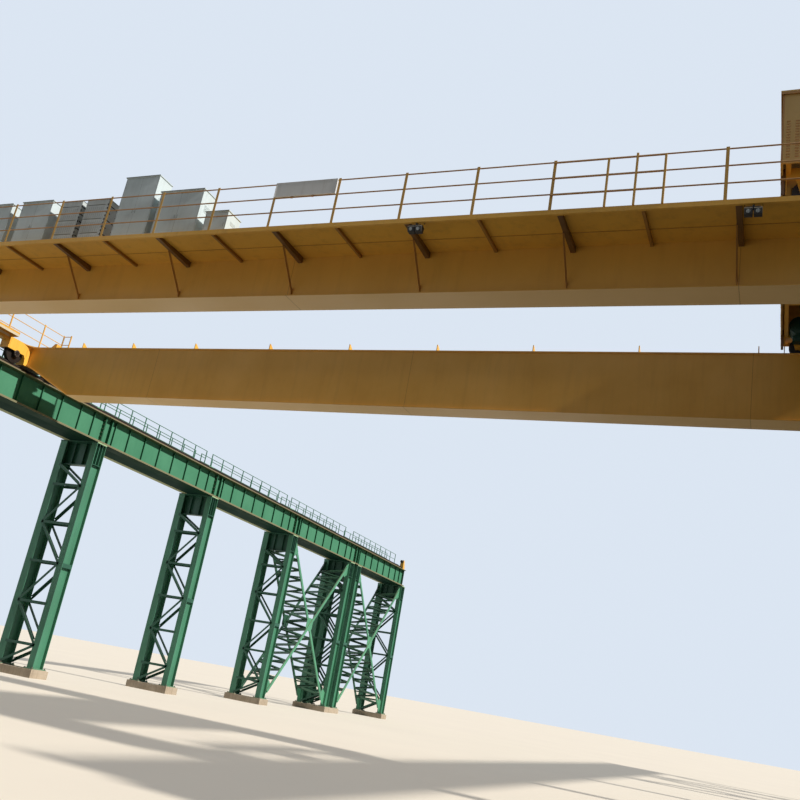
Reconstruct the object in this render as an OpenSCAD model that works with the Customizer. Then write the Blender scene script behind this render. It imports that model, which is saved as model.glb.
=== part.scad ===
// Outdoor travelling gantry: a double-girder bridge crane that runs on a raised steel runway.
// All lengths are those of the real crane in millimetres; the whole model is then drawn at model_scale.
// Axes: X across the span, Y along the runway, Z up, origin on the ground in the middle of the runway.

/* [Scale] */
// Scale of the model against the real crane
model_scale = 0.5; // [0.1:0.1:1]

/* [Runway] */
// Distance between the centres of the two runway rails
span = 31500; // [28500:500:31500]
// Distance between two column lines
bay_len = 8500; // [8200:100:8600]
// Height of the top of the runway rail over the ground
rail_top = 10780; // [10500:20:11000]
// Depth of the runway girder, flanges included
beam_h = 1184; // [1100:4:1250]
// Width of the runway girder's flanges
beam_w = 600; // [520:20:620]
// Width of the maintenance walkway beside the runway girder
path_w = 1230; // [1200:10:1300]

/* [Columns] */
// Distance between the inner and the outer leg of a column
leg_gap = 1660; // [1600:10:1700]
// Depth of a leg along the runway
leg_d = 550; // [500:10:600]
// Flange width of the inner leg
leg_w = 300; // [280:10:320]
// Height of the concrete plinths
plinth_h = 300; // [250:10:350]
// Depth of the plated cross head at the column top
head_h = 950; // [900:10:1000]
// Width of a lacing bar
lace_w = 100; // [80:5:120]
// Distance between the two columns at the expansion joint
twin_gap = 1100; // [1000:20:1200]

/* [Bridge] */
// Position of the middle of the bridge along the runway
bridge_y = -16600; // [-17000:100:-15000]
// Distance between the centre lines of the two girders
girder_gap = 7240; // [7000:20:7400]
// Depth of a box girder
girder_h = 1835; // [1750:5:1850]
// Width of a box girder over its flange plates
girder_w = 760; // [700:10:800]
// Diameter of a bridge wheel
wheel_d = 660; // [620:10:700]
// Half the wheel base of an end carriage
wheel_base = 920; // [880:10:950]
// Width of the walkway along the near girder
walk_w = 1360; // [1300:10:1400]
// Height of the handrail
rail_h = 1110; // [1060:10:1150]

/* [Trolley] */
// Position of the middle of the trolley across the span
trolley_x = 11915; // [9000:5:11915]
// Length of the trolley along the girders
trolley_l = 3370; // [3200:10:3400]
// Diameter of a trolley wheel
trolley_wheel_d = 400; // [360:10:420]
// Height of the machine house walls
house_h = 1580; // [1400:10:1600]
// Height of the hook block's middle over the ground
hook_z = 9000; // [8900:50:9600]

/* [Hidden] */
bays = 6;
rail_x = span / 2;
beam_top = rail_top - 200;
beam_bot = beam_top - beam_h;
beam_t = 25;
web_t = 20;
in_x = rail_x - 140;
out_x = in_x + leg_gap;
out_w = 350;
cap_t = 46;
leg_top = beam_bot - cap_t;
path_x0 = rail_x + beam_w / 2;
path_x1 = path_x0 + path_w;
deck_t = 40;
plate_t = 20;
run_y0 = -bays * bay_len / 2;
joint = 20;
end_gap = 60;
panel = (bay_len - joint - 2 * end_gap) / 7.36;
short_panel = panel * 0.68;
lace_t = 30;
lace_low = 1180;
lace_step = 1580;
lace_z = [for (i = [0 : 4]) lace_low + lace_step * i];
rib_len = 900;
diaphragm_z = 4210;
diaphragm_h = 170;
in_lap = in_x + 60;
out_lap = out_x - 80;
brace_bays = [4, 5];
brace_w = 160;
brace_t = 70;
brace_s = 10;
post = 50;
tube = 40;
in_fence_x = rail_x + 670;
out_fence_x = rail_x + 1370;
fence_h = 1100;

near_y = bridge_y - girder_gap / 2;
far_y = bridge_y + girder_gap / 2;
car_w = 420;
car_x0 = rail_x - car_w / 2;
car_x1 = rail_x + car_w / 2;
car_l = 1400;
cap_h = 25;
seat_gap = 0.6;
axle_z = rail_top + seat_gap + wheel_d / 2;
car_bot = rail_top + 60;
car_up = axle_z + 66;
girder_top = axle_z + 495;
girder_bot = girder_top - girder_h;
web_w = girder_w - 100;
taper_x = rail_x - 2560;
taper_z = car_bot + 50;
walk_top = girder_top - 825;
walk_y0 = near_y - web_w / 2;
walk_y1 = walk_y0 - walk_w;
walk_x = rail_x - 1010;
bar_gap = 1575;
fence_y = walk_y1 + 10;
plat_top = girder_top + 120;
tie_top = plat_top - 160;
plat_x0 = rail_x - 610;
crab_rail_h = 100;
crab_rail_x = rail_x - 1130;
crab_top = girder_top + crab_rail_h;
crab_axle = crab_top + seat_gap + trolley_wheel_d / 2;
frame_bot = crab_axle + trolley_wheel_d / 2 + 30;
frame_top = frame_bot + 240;
frame_in = 90;
crab_base = trolley_l / 2 - 420;
house_out = 580;
house_y0 = near_y - house_out;
house_y1 = far_y + house_out;
house_bot = frame_top - 165;
drum_up = 560;
drum_z = frame_top + drum_up;
along = walk_x / 14740;
box_d = 500;
box_h = 1450;
tall_box_h = 1910;
wide_box_h = 1410;
small_box_h = 750;
bank_w = 700;
bank_h = 1380;
track_d = 430;
track_h = 430;
rope_x = 373.6;
bar_x = 110;
main_bar_x = 155;
bar_d = 90;
main_bar_d = 165;
drive_l = 480;
crab_drive_l = 500;
gusset_r = 420;
return_l = 370;
end_step = 1040;
fence_y1 = near_y - girder_w / 2 - 10;

green = [0.24, 0.50, 0.38];
yellow = [0.80, 0.56, 0.18];
grey = [0.70, 0.72, 0.70];
dark = [0.10, 0.10, 0.10];

// Column lines along the runway; the fifth inner line is a twin at the expansion joint.
function line_y(i) = run_y0 + i * bay_len;
column_y = [for (i = [0 : bays]) if (i == 5) line_y(i) - twin_gap / 2 else line_y(i), line_y(5) + twin_gap / 2];

module both_sides() {
    children();
    mirror([1, 0, 0]) children();
}

module box(x0, x1, y0, y1, z0, z1) {
    translate([x0, y0, z0]) cube([x1 - x0, y1 - y0, z1 - z0]);
}

// Profile in the Y-Z plane, drawn as [y, z] and pushed along X from x0 to x1.
module along_x(x0, x1) {
    translate([x0, 0, 0]) rotate([90, 0, 90]) linear_extrude(height = x1 - x0) children();
}

// Profile in the X-Z plane, drawn as [x, z] and pushed along Y from y0 to y1.
module along_y(y0, y1) {
    translate([0, y1, 0]) rotate([90, 0, 0]) linear_extrude(height = y1 - y0) children();
}

// Flat strip of width w between two points of a plane.
module strip(a, b, w) {
    d = b - a;
    translate(a) rotate(atan2(d[1], d[0])) translate([0, -w / 2]) square([norm(d), w]);
}

// Plate girder, H and I outlines.
module i_profile(w, h, tf, tw) {
    translate([-w / 2, 0]) square([w, tf]);
    translate([-tw / 2, tf]) square([tw, h - 2 * tf]);
    translate([-w / 2, h - tf]) square([w, tf]);
}

module h_outline(w, d, tf, tw) {
    polygon([[-w / 2, -d / 2], [w / 2, -d / 2], [w / 2, -d / 2 + tf], [tw / 2, -d / 2 + tf],
        [tw / 2, d / 2 - tf], [w / 2, d / 2 - tf], [w / 2, d / 2], [-w / 2, d / 2],
        [-w / 2, d / 2 - tf], [-tw / 2, d / 2 - tf], [-tw / 2, -d / 2 + tf], [-w / 2, -d / 2 + tf]]);
}

module plinths() {
    color([0.72, 0.66, 0.56]) both_sides()
        for (i = [0 : bays]) {
            half = i == 5 ? twin_gap / 2 + 450 : 450;
            box(in_x - leg_w / 2 - 150, out_x + out_w / 2 + 150, line_y(i) - half, line_y(i) + half, 0, plinth_h);
        }
}

module column_legs() {
    color(green) both_sides()
        for (y = column_y) {
            translate([in_x, y, plinth_h]) linear_extrude(height = leg_top - plinth_h) h_outline(leg_w, leg_d, 22, 20);
            translate([out_x, y, plinth_h]) linear_extrude(height = leg_top - plinth_h) h_outline(out_w, leg_d, 22, 20);
        }
}

// One face of zigzag lacing with a batten between each pair of diagonals.
module lacing_face() {
    top = leg_top - head_h - 40;
    low = plinth_h + 110;
    zs = concat([low], lace_z, [top]);
    for (z = lace_z) strip([in_lap, z], [out_lap, z], lace_w);
    for (i = [0 : 5])
        if (i % 2 == 0) strip([out_lap - 20, zs[i]], [in_lap + 20, zs[i + 1]], lace_w);
        else strip([in_lap + 20, zs[i]], [out_lap - 20, zs[i + 1]], lace_w);
}

module lacing() {
    for (y = column_y) {
        along_y(y - leg_d / 2 - lace_t, y - leg_d / 2) lacing_face();
        along_y(y + leg_d / 2, y + leg_d / 2 + lace_t) lacing_face();
    }
}

module right_lacing() {
    color(green) lacing();
}

module left_lacing() {
    color(green) mirror([1, 0, 0]) lacing();
}

// Plated cross head between the leg webs, with the cap plate that the runway girders sit on.
module column_heads() {
    color(green) both_sides()
        for (y = column_y) {
            x0 = in_x + 10;
            x1 = out_x - 10;
            z0 = leg_top - head_h;
            box(x0, x1, y - 10, y + 10, z0, leg_top);
            box(x0, x1, y - 140, y + 140, z0, z0 + 25);
            for (f = [0.33, 0.67]) box(x0 + f * (x1 - x0) - 8, x0 + f * (x1 - x0) + 8, y - 130, y + 130, z0, leg_top);
            box(in_x - leg_w / 2 - 10, out_x + out_w / 2 + 10, y - leg_d / 2 - 10, y + leg_d / 2 + 10, leg_top, beam_bot);
        }
}

// Bearing ribs under the girder seat and a diaphragm half way up, inside the inner leg.
module leg_stiffeners() {
    color(green) both_sides()
        for (y = column_y) {
            x0 = in_x - leg_w / 2 + 5;
            x1 = in_x - 10;
            z0 = leg_top - rib_len;
            box(x0, x1, y - leg_d / 2 + 22, y + leg_d / 2 - 22, z0, z0 + 22);
            for (dy = [-100, 80]) box(x0, x1, y + dy, y + dy + 20, z0, leg_top);
            box(x0, x1, y - leg_d / 2 + 22, y + leg_d / 2 - 22, diaphragm_z, diaphragm_z + diaphragm_h);
        }
}

// One welded plate girder for a bay, with its web ribs.
module runway_beam(y0) {
    a = y0 + joint / 2;
    b = y0 + bay_len - joint / 2;
    translate([rail_x, 0, beam_bot]) along_y(a, b) i_profile(beam_w, beam_h, beam_t, web_t);
    ys = concat([a + end_gap], [for (k = [1 : 6]) a + end_gap + k * panel],
        [a + end_gap + 6 * panel + short_panel, b - end_gap]);
    for (k = [0 : 8]) {
        lift = k == 0 || k == 8 ? 0 : 60;
        box(rail_x - 230, rail_x + 230, ys[k] - 10, ys[k] + 10, beam_bot + beam_t + lift, beam_top - beam_t);
    }
}

module runway_beams() {
    color(green) both_sides() for (i = [0 : bays - 1]) runway_beam(line_y(i));
}

module rail_outline() {
    polygon([[-75, 0], [75, 0], [75, 15], [28, 45], [28, 130], [50, 150], [50, 192], [42, 200],
        [-42, 200], [-50, 192], [-50, 150], [-28, 130], [-28, 45], [-75, 15]]);
}

module runway_rails() {
    color([0.25, 0.15, 0.13]) both_sides()
        translate([rail_x, 0, beam_top]) along_y(run_y0 + 20, -run_y0 - 20) rail_outline();
}

// Outer channel and soffit plate that carry the walkway, one length a bay.
module walkway_beams() {
    color(green) both_sides() for (i = [0 : bays - 1])
        along_y(line_y(i) + joint / 2, line_y(i + 1) - joint / 2)
            polygon([[path_x0, beam_bot], [path_x1, beam_bot], [path_x1, beam_bot + plate_t],
                [path_x1 - 30, beam_bot + plate_t], [path_x1 - 30, beam_top - deck_t - plate_t],
                [path_x1, beam_top - deck_t - plate_t], [path_x1, beam_top - deck_t],
                [path_x1 - 150, beam_top - deck_t], [path_x1 - 150, beam_top - deck_t - plate_t],
                [path_x1 - 50, beam_top - deck_t - plate_t], [path_x1 - 50, beam_bot + plate_t],
                [path_x0, beam_bot + plate_t]]);
}

module walkway_decks() {
    color(green) both_sides() for (i = [0 : bays - 1])
        box(path_x0, path_x1, line_y(i) + joint / 2, line_y(i + 1) - joint / 2, beam_top - deck_t, beam_top);
}

// Railing of one bay: nine posts, a top rail, two knee rails and a toe board.
module fence_face(y0, y1) {
    n = 8;
    for (k = [0 : n]) translate([y0 + k * (y1 - y0 - post) / n, beam_top]) square([post, fence_h - tube]);
    translate([y0, beam_top + fence_h - tube]) square([y1 - y0, tube]);
    translate([y0, beam_top + fence_h * 0.62]) square([y1 - y0, tube]);
    translate([y0, beam_top + fence_h * 0.32]) square([y1 - y0, tube]);
    translate([y0, beam_top]) square([y1 - y0, 100]);
}

module fences(x, shift) {
    for (i = [0 : bays - 1])
        along_x(x - 20, x + 20)
            fence_face(line_y(i) + 250 + (i == 5 ? 350 : 0), line_y(i + 1) - 250 + shift - (i == 4 ? 350 : 0));
}

module inner_railings() {
    color(green) both_sides() fences(in_fence_x, 0);
}

module outer_railings() {
    color(green) both_sides() fences(out_fence_x, 0);
}

// Upright tie plates beside the rail over each column line.
module column_upstands() {
    color([0.30, 0.60, 0.42]) both_sides()
        for (i = [0 : bays]) {
            y = i == 0 ? line_y(i) + 260 : i == bays ? line_y(i) - 260 : line_y(i);
            box(path_x0 + 70, path_x0 + 90, y - 200, y + 200, beam_top, beam_top + 360);
            box(path_x0 + 90, path_x0 + 250, y - 180, y - 160, beam_top, beam_top + 300);
            box(path_x0 + 90, path_x0 + 250, y + 160, y + 180, beam_top, beam_top + 300);
        }
}

// Ends of a braced bay at leg faces, [low y, high y].
function brace_span(i) = [line_y(i) + leg_d / 2 + (i == 5 ? twin_gap / 2 : 0),
    line_y(i + 1) - leg_d / 2 - (i == 4 ? twin_gap / 2 : 0)];
brace_z0 = plinth_h + 420;
brace_z1 = leg_top - 420;
brace_in = 240;

module bay_braces() {
    color(green) both_sides() for (i = brace_bays, x = [in_x, out_x]) {
        s = brace_span(i);
        along_x(x - brace_s - brace_t, x - brace_s)
            strip([s[0] + brace_in, brace_z0], [s[1] - brace_in, brace_z1], brace_w);
        along_x(x + brace_s, x + brace_s + brace_t)
            strip([s[1] - brace_in, brace_z0], [s[0] + brace_in, brace_z1], brace_w);
    }
}

module brace_gussets() {
    color(green) both_sides() for (i = brace_bays, x = [in_x, out_x]) {
        s = brace_span(i);
        m = (s[0] + s[1]) / 2;
        zm = (brace_z0 + brace_z1) / 2;
        along_x(x - brace_s, x + brace_s) {
            polygon([[m - 380, zm - 200], [m - 200, zm - 380], [m + 200, zm - 380], [m + 380, zm - 200],
                [m + 380, zm + 200], [m + 200, zm + 380], [m - 200, zm + 380], [m - 380, zm + 200]]);
            for (a = [0, 1], c = [0, 1]) {
                y = a == 0 ? s[0] : s[1];
                d = a == 0 ? 1 : -1;
                z = c == 0 ? brace_z0 : brace_z1;
                e = c == 0 ? 1 : -1;
                polygon([[y, z - e * 330], [y + d * 260, z - e * 150], [y + d * 620, z + e * 330],
                    [y + d * 330, z + e * 620], [y, z + e * 420]]);
            }
        }
    }
}

// Battens that tie the inner and outer planes of the braces together.
module brace_battens() {
    color(green) both_sides() for (i = brace_bays, f = [0.1, 0.2, 0.3, 0.4, 0.6, 0.7, 0.8, 0.9]) {
        s = brace_span(i);
        y0 = s[0] + brace_in;
        y1 = s[1] - brace_in;
        z = brace_z0 + f * (brace_z1 - brace_z0);
        yu = y0 + f * (y1 - y0);
        yd = y1 - f * (y1 - y0);
        box(in_x - brace_s, out_x - brace_s - brace_t, yu - 40, yu + 40, z - 40, z + 40);
        box(in_x + brace_s + brace_t, out_x + brace_s, yd - 40, yd + 40, z - 40, z + 40);
    }
}

stop_y = -run_y0 - 350;

module end_stops() {
    color(yellow) both_sides() for (m = [0, 1]) mirror([0, m, 0])
        difference() {
            along_x(rail_x - 130, rail_x + 130)
                polygon([[stop_y, beam_top], [-run_y0 - 20, beam_top], [-run_y0 - 20, beam_top + 180],
                    [stop_y + 110, axle_z + 160], [stop_y, axle_z + 160]]);
            box(rail_x - 82, rail_x + 82, stop_y - 10, -run_y0, beam_top - 10, rail_top + 10);
        }
}

module end_buffers() {
    color(dark) both_sides() for (m = [0, 1]) mirror([0, m, 0])
        translate([rail_x, stop_y, axle_z + 40]) rotate([90, 0, 0]) cylinder(h = 150, d = 200, $fn = 48);
}

// Tapered box girder with flange plates and haunches at the carriages.
module girder(y) {
    outline = [[-car_x0, taper_z], [-taper_x, girder_bot], [taper_x, girder_bot], [car_x0, taper_z],
        [car_x0, girder_top], [-car_x0, girder_top]];
    along_y(y - web_w / 2, y + web_w / 2) polygon(outline);
    along_y(y - girder_w / 2, y + girder_w / 2) {
        polygon([[-car_x0, taper_z], [-taper_x, girder_bot], [taper_x, girder_bot], [car_x0, taper_z],
            [car_x0, taper_z + 25], [taper_x, girder_bot + 25], [-taper_x, girder_bot + 25],
            [-car_x0, taper_z + 25]]);
    }
    along_y(y - girder_w / 2, y + girder_w / 2)
        translate([-car_x0, girder_top - 25]) square([2 * car_x0, 25]);
    both_sides() for (m = [-1, 1])
        translate([car_x0, y + m * girder_w / 2, girder_top - 25]) linear_extrude(height = 25)
            mirror([0, m < 0 ? 1 : 0]) difference() {
                translate([-gusset_r, -10]) square([gusset_r, gusset_r + 10]);
                translate([-gusset_r, gusset_r]) circle(r = gusset_r, $fn = 48);
            }
}

module near_girder() {
    color(yellow) girder(near_y);
}

module far_girder() {
    color(yellow) girder(far_y);
}

// End carriage: a box with raised ends and a slot over each wheel.
module end_carriages() {
    color(yellow) both_sides() for (y = [near_y, far_y])
        translate([0, y, 0]) difference() {
            along_x(car_x0, car_x1)
                polygon([[-car_l, car_up], [-600, car_up], [-520, car_up - 120], [-500, car_bot],
                    [500, car_bot], [520, car_up - 120], [600, car_up], [car_l, car_up],
                    [car_l, girder_top - 35], [car_l - 60, girder_top], [-car_l + 60, girder_top],
                    [-car_l, girder_top - 35]]);
            for (s = [-1, 1])
                box(rail_x - 100, rail_x + 100, s * wheel_base - 380, s * wheel_base + 380,
                    car_bot - 10, axle_z + 380);
        }
}

module wheel_outline(d) {
    polygon([[0, -100], [120, -100], [120, -85], [d / 2 + 25, -80], [d / 2 + 25, -68], [d / 2, -60],
        [d / 2, 60], [d / 2 + 25, 68], [d / 2 + 25, 80], [120, 85], [120, 100], [0, 100]]);
}

module bridge_wheels() {
    color(dark) both_sides() for (y = [near_y, far_y], s = [-1, 1])
        translate([rail_x, y + s * wheel_base, axle_z]) rotate([0, 90, 0])
            rotate_extrude($fn = 64) wheel_outline(wheel_d);
}

module wheel_housings() {
    color([0.2, 0.19, 0.16]) both_sides() for (y = [near_y, far_y], s = [-1, 1], m = [0, 1])
        translate([rail_x, y + s * wheel_base, axle_z]) mirror([m, 0, 0]) difference() {
            union() {
                translate([100, 0, 0]) rotate([0, 90, 0]) cylinder(h = 110, d = 260, $fn = 48);
                translate([100, -110, 0]) cube([110, 220, car_up - axle_z]);
                translate([210, 0, 0]) rotate([0, 90, 0]) cylinder(h = cap_h, d = 120, $fn = 48);
            }
            translate([90, -200, car_up - axle_z]) cube([130, 400, 200]);
        }
}

// Platform between the two carriages of a side, on its tie beam.
module end_platforms() {
    color([0.86, 0.68, 0.34]) both_sides() {
        y0 = near_y + car_l;
        y1 = far_y - car_l;
        box(plat_x0, car_x1, y0, y1, plat_top - 20, plat_top);
        box(plat_x0, plat_x0 + 20, y0, y1, tie_top, plat_top);
        box(car_x1 - 20, car_x1, y0, y1, tie_top, plat_top);
        box(car_x0 + 60, car_x1 - 60, y0, y1, tie_top - 110, plat_top);
        for (k = [0 : 6]) box(plat_x0, car_x1, y0 + k * (y1 - y0 - 20) / 6, y0 + k * (y1 - y0 - 20) / 6 + 20,
            tie_top, plat_top);
    }
}

module rail_lines(a, b, z) {
    for (f = [0.307, 0.632]) translate([a, z + rail_h * f]) square([b - a, 30]);
    translate([a, z + rail_h - 60]) square([b - a, tube]);
}

// Outer handrail over the carriages, with a short return frame of its own at each end.
module end_railings() {
    x = car_x1 - 45;
    y0 = near_y - car_l + 60;
    y1 = far_y + car_l - 60;
    step = (y1 - y0 - post - 2 * end_step) / 5;
    color(yellow) both_sides() {
        along_x(x, x + tube) {
            rail_lines(y0, y1, plat_top);
            for (y = [y0, y1 - post]) translate([y, girder_top]) square([post, plat_top - girder_top + rail_h]);
            for (k = [0 : 5]) {
                y = y0 + end_step + k * step;
                z = y > near_y + car_l && y < far_y - car_l ? plat_top : girder_top;
                translate([y, z]) square([post, plat_top - z + rail_h]);
            }
        }
        for (y = [y0, y1 - tube]) along_y(y, y + tube) {
            rail_lines(x - return_l, x - 5, plat_top);
            translate([x - return_l, girder_top]) square([post, plat_top - girder_top + rail_h]);
        }
    }
}

// Gearbox and motor on the wheel of each carriage that lies outside the girders.
module travel_drives() {
    color([0.16, 0.32, 0.27]) both_sides() for (s = [-1, 1]) {
        y = bridge_y + s * (girder_gap / 2 + wheel_base);
        x = car_x0 - cap_h;
        box(x - 230, x, y - 150, y + 150, axle_z - 150, axle_z + 330);
        translate([x - 230 - drive_l, y, axle_z + 180]) rotate([0, 90, 0]) cylinder(h = drive_l, d = 260, $fn = 48);
        box(x - 230 - drive_l, x - 130 - drive_l, y - 150, y + 150, axle_z + 30, axle_z + 330);
    }
}

// What the far girder carries as the mirror image of the near one.
module far_side() {
    translate([0, 2 * bridge_y, 0]) mirror([0, 1, 0]) children();
}

// Plate walkway on the near girder: edge channel, cross bars, and at every second one a deeper, tapered
// main bar with a knee brace along its side.
module near_walkway() {
    color(yellow) {
        box(-walk_x, walk_x, walk_y1, walk_y0, walk_top - 20, walk_top);
        box(-walk_x, walk_x, walk_y1, walk_y1 + 20, walk_top - 100, walk_top);
        for (k = [-9 : 2 : 9]) {
            x = k * bar_gap + bar_x;
            box(x - 35, x + 35, walk_y1 + 15, walk_y0, walk_top - bar_d, walk_top);
        }
        for (k = [-8 : 2 : 8]) {
            x = k * bar_gap + main_bar_x;
            along_x(x - 50, x + 50)
                polygon([[walk_y1 + 15, walk_top], [walk_y1 + 15, walk_top - bar_d],
                    [walk_y0, walk_top - main_bar_d], [walk_y0, walk_top]]);
            along_x(x - 60, x - 40)
                polygon([[walk_y0 - 780, walk_top - bar_d], [walk_y0 - 710, walk_top - bar_d],
                    [walk_y0, girder_bot + 150], [walk_y0, girder_bot + 50]]);
        }
    }
}

module far_walkway() {
    far_side() near_walkway();
}

module near_railing() {
    x1 = walk_x - 10;
    color(yellow) {
        along_y(fence_y, fence_y + tube) {
            rail_lines(-x1, x1, walk_top);
            for (k = [-9 : 9]) translate([k * bar_gap - 40, walk_top]) square([post, rail_h]);
            for (x = [-x1, x1 - post]) translate([x, walk_top]) square([post, rail_h - 5]);
        }
        for (x = [-x1, x1 - tube]) along_x(x, x + tube) {
            rail_lines(fence_y, fence_y1, walk_top);
            translate([fence_y1 - post, walk_top]) square([post, rail_h - 5]);
        }
    }
}

module far_railing() {
    far_side() near_railing();
}

// Doubled rails on the outside of the handrail, over an access place.
module gate_rails() {
    color([0.55, 0.36, 0.20]) along_y(fence_y - tube, fence_y) {
        x0 = 4 * bar_gap - 60;
        x1 = x0 + 2100;
        for (f = [0.285, 0.598, 0.863]) translate([x0, walk_top + rail_h * f]) square([x1 - x0, 30]);
        for (x = [x0 + 1050, x1 - tube]) translate([x, walk_top]) square([tube, rail_h - 20]);
    }
}

module sign_board() {
    color([0.93, 0.93, 0.90]) box(10, bar_gap - 40, fence_y - 20, fence_y, walk_top + 720, walk_top + 1085);
}

// Twin lamps under the outer edge of the walkway.
module floodlights() {
    color(dark) for (x = [2 * bar_gap + 400, 6 * bar_gap + 400]) {
        box(x - 150, x + 150, walk_y1 + 20, walk_y1 + 120, walk_top - 50, walk_top - 20);
        box(x - 20, x + 20, walk_y1 + 40, walk_y1 + 100, walk_top - 190, walk_top - 40);
        for (s = [-1, 1]) along_x(x + s * 78 - 70, x + s * 78 + 70)
            polygon([[walk_y1 - 60, walk_top - 310], [walk_y1 + 110, walk_top - 320], [walk_y1 + 130, walk_top - 180],
                [walk_y1 + 20, walk_top - 160]]);
        box(x - 100, x + 100, walk_y1 + 50, walk_y1 + 100, walk_top - 240, walk_top - 190);
    }
}

cab_y0 = walk_y1 + 410;

module cabinet(a, b, h) {
    x0 = along * a;
    x1 = along * b;
    box(x0, x1, cab_y0, cab_y0 + box_d, walk_top, walk_top + h - 30);
    box(x0 - 20, x1 + 20, cab_y0 - 20, cab_y0 + box_d + 10, walk_top + h - 30, walk_top + h);
    box(x0 + 30, x1 - 30, cab_y0 - 12, cab_y0 + 5, walk_top + 60, walk_top + h - 80);
}

module control_cabinets() {
    color(grey) {
        cabinet(-9600, -8540, box_h);
        cabinet(-8150, -7100, box_h);
        cabinet(-4810, -3780, tall_box_h);
        cabinet(-3580, -2310, wide_box_h);
        cabinet(-2070, -1440, small_box_h);
    }
}

// Two banks of resistors in louvred boxes.
module resistor_boxes() {
    color([0.58, 0.60, 0.58]) for (a = [-6760, -5900]) {
        x = along * a;
        roof = walk_top + bank_h - 30;
        step = (bank_h - 155) / 5;
        box(x + 20, x + bank_w - 20, cab_y0 + 20, cab_y0 + box_d - 20, walk_top, roof);
        box(x, x + bank_w, cab_y0, cab_y0 + box_d, roof, roof + 30);
        for (k = [0 : 4]) difference() {
            translate([x, cab_y0, walk_top + 150 + k * step]) cube([bank_w, box_d, 70]);
            translate([x + 20, cab_y0 + 20, walk_top + 140 + k * step]) cube([bank_w - 40, box_d - 40, 90]);
        }
    }
}

module trolley_rails() {
    color([0.28, 0.20, 0.16]) for (y = [near_y, far_y])
        translate([0, y, girder_top]) along_x(-crab_rail_x, crab_rail_x)
            polygon([[-55, 0], [55, 0], [55, 15], [18, 25], [18, 65], [35, 75], [35, 100], [-35, 100],
                [-35, 75], [-18, 65], [-18, 25], [-55, 15]]);
}

module trolley_stops() {
    color(yellow) both_sides() for (y = [near_y, far_y])
        along_y(y - 110, y + 110)
            polygon([[crab_rail_x, girder_top], [crab_rail_x + 280, girder_top], [crab_rail_x + 280, girder_top + 80],
                [crab_rail_x + 100, crab_axle - 40], [crab_rail_x, crab_axle - 40]]);
}

// Upright brackets along the back edge of the far girder for the trolley's cable track.
module cable_brackets() {
    y1 = far_y + girder_w / 2 - 5;
    y0 = y1 - 210;
    color([0.90, 0.62, 0.20]) for (x = [-13640, -11300, -8550, -5500, -2500, 530, 3560, 6600, 9705, 12700])
        along_x(along * x - 12, along * x + 12)
            polygon([[y0, girder_top], [y1, girder_top], [y0 + track_d, girder_top + 110],
                [y0 + track_d, girder_top + 190], [y0 + 50, girder_top + track_h], [y0, girder_top + track_h]]);
}

// Welded trolley frame; a guard plate reaches down to the rail at each end of its two side beams.
module trolley_frame() {
    l = trolley_l / 2 - frame_in;
    color(yellow) translate([trolley_x, 0, 0]) {
        for (y = [near_y, far_y]) box(-l, l, y - 150, y + 150, frame_bot, frame_top);
        for (y = [near_y, far_y], x = [-l, l - 20]) box(x, x + 20, y - 150, y + 60, crab_axle - 110, frame_bot + 5);
        for (c = [[-l, 90], [-200, 200], [l - 200, 200]]) {
            box(c[0], c[0] + c[1], near_y, far_y, frame_bot + 20, frame_top);
            box(c[0], c[0] + c[1], house_y0 + 40.6, near_y, frame_top - 120, frame_top);
            box(c[0], c[0] + c[1], far_y, house_y1 - 40.6, frame_top - 120, frame_top);
        }
        for (y = [bridge_y - 1700, bridge_y + 1500]) box(-l + 70, l - 70, y, y + 200, frame_bot + 60, frame_top);
    }
}

module crab_wheel_outline(d) {
    polygon([[0, -70], [80, -70], [80, -60], [d / 2 + 18, -58], [d / 2 + 18, -48], [d / 2, -43],
        [d / 2, 43], [d / 2 + 18, 48], [d / 2 + 18, 58], [80, 60], [80, 70], [0, 70]]);
}

module trolley_wheels() {
    color(dark) for (x = [-crab_base, crab_base], y = [near_y, far_y])
        translate([trolley_x + x, y, crab_axle]) rotate([90, 0, 0])
            rotate_extrude($fn = 64) crab_wheel_outline(trolley_wheel_d);
}

module trolley_brackets() {
    color(yellow) for (x = [-crab_base, crab_base], y = [near_y, far_y], m = [0, 1])
        translate([trolley_x + x, y, 0]) mirror([0, m, 0]) {
            along_y(70, 110) polygon([[-60, crab_axle - 90], [60, crab_axle - 90], [150, frame_bot], [-150, frame_bot]]);
            translate([0, 135, crab_axle]) rotate([90, 0, 0]) cylinder(h = 30, d = 110, $fn = 48);
        }
}

// House over the hoist: thin walls and an overhanging roof, open below.
module machine_house() {
    l = trolley_l / 2;
    t = 40;
    z1 = house_bot + house_h;
    color(yellow) translate([trolley_x, 0, 0]) {
        difference() {
            box(-l, l, house_y0, house_y1, house_bot, z1);
            box(-l + t, l - t, house_y0 + t, house_y1 - t, house_bot - 10, z1 - t);
        }
        box(-l - 40, l + 40, house_y0 - 40, house_y1 + 40, z1, z1 + 30);
    }
}

// Grooved hoist drum on two pedestals, with its gearbox and motor.
module hoist_drum() {
    y0 = bridge_y - 1500;
    y1 = bridge_y + 1400;
    color([0.20, 0.32, 0.28]) translate([trolley_x, 0, 0]) {
        translate([0, y1, drum_z]) rotate([90, 0, 0]) rotate_extrude($fn = 48)
            polygon([[0, 0], [430, 0], [430, 60], [360, 60], [360, 1300], [330, 1320], [330, 1580], [360, 1600],
                [360, 2840], [430, 2840], [430, 2900], [0, 2900]]);
        for (y = [y0 - 150, y1]) along_y(y, y + 150)
            polygon([[-400, frame_top], [400, frame_top], [200, drum_z + 180], [-200, drum_z + 180]]);
        box(-560, 560, y1 + 150, y1 + 650, frame_top, drum_z + 420);
        translate([-330, y1 + 1550, drum_z]) rotate([90, 0, 0]) cylinder(h = 900, d = 480, $fn = 48);
        box(-560, -100, y1 + 750, y1 + 1450, frame_top, drum_z - 200);
    }
}

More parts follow.
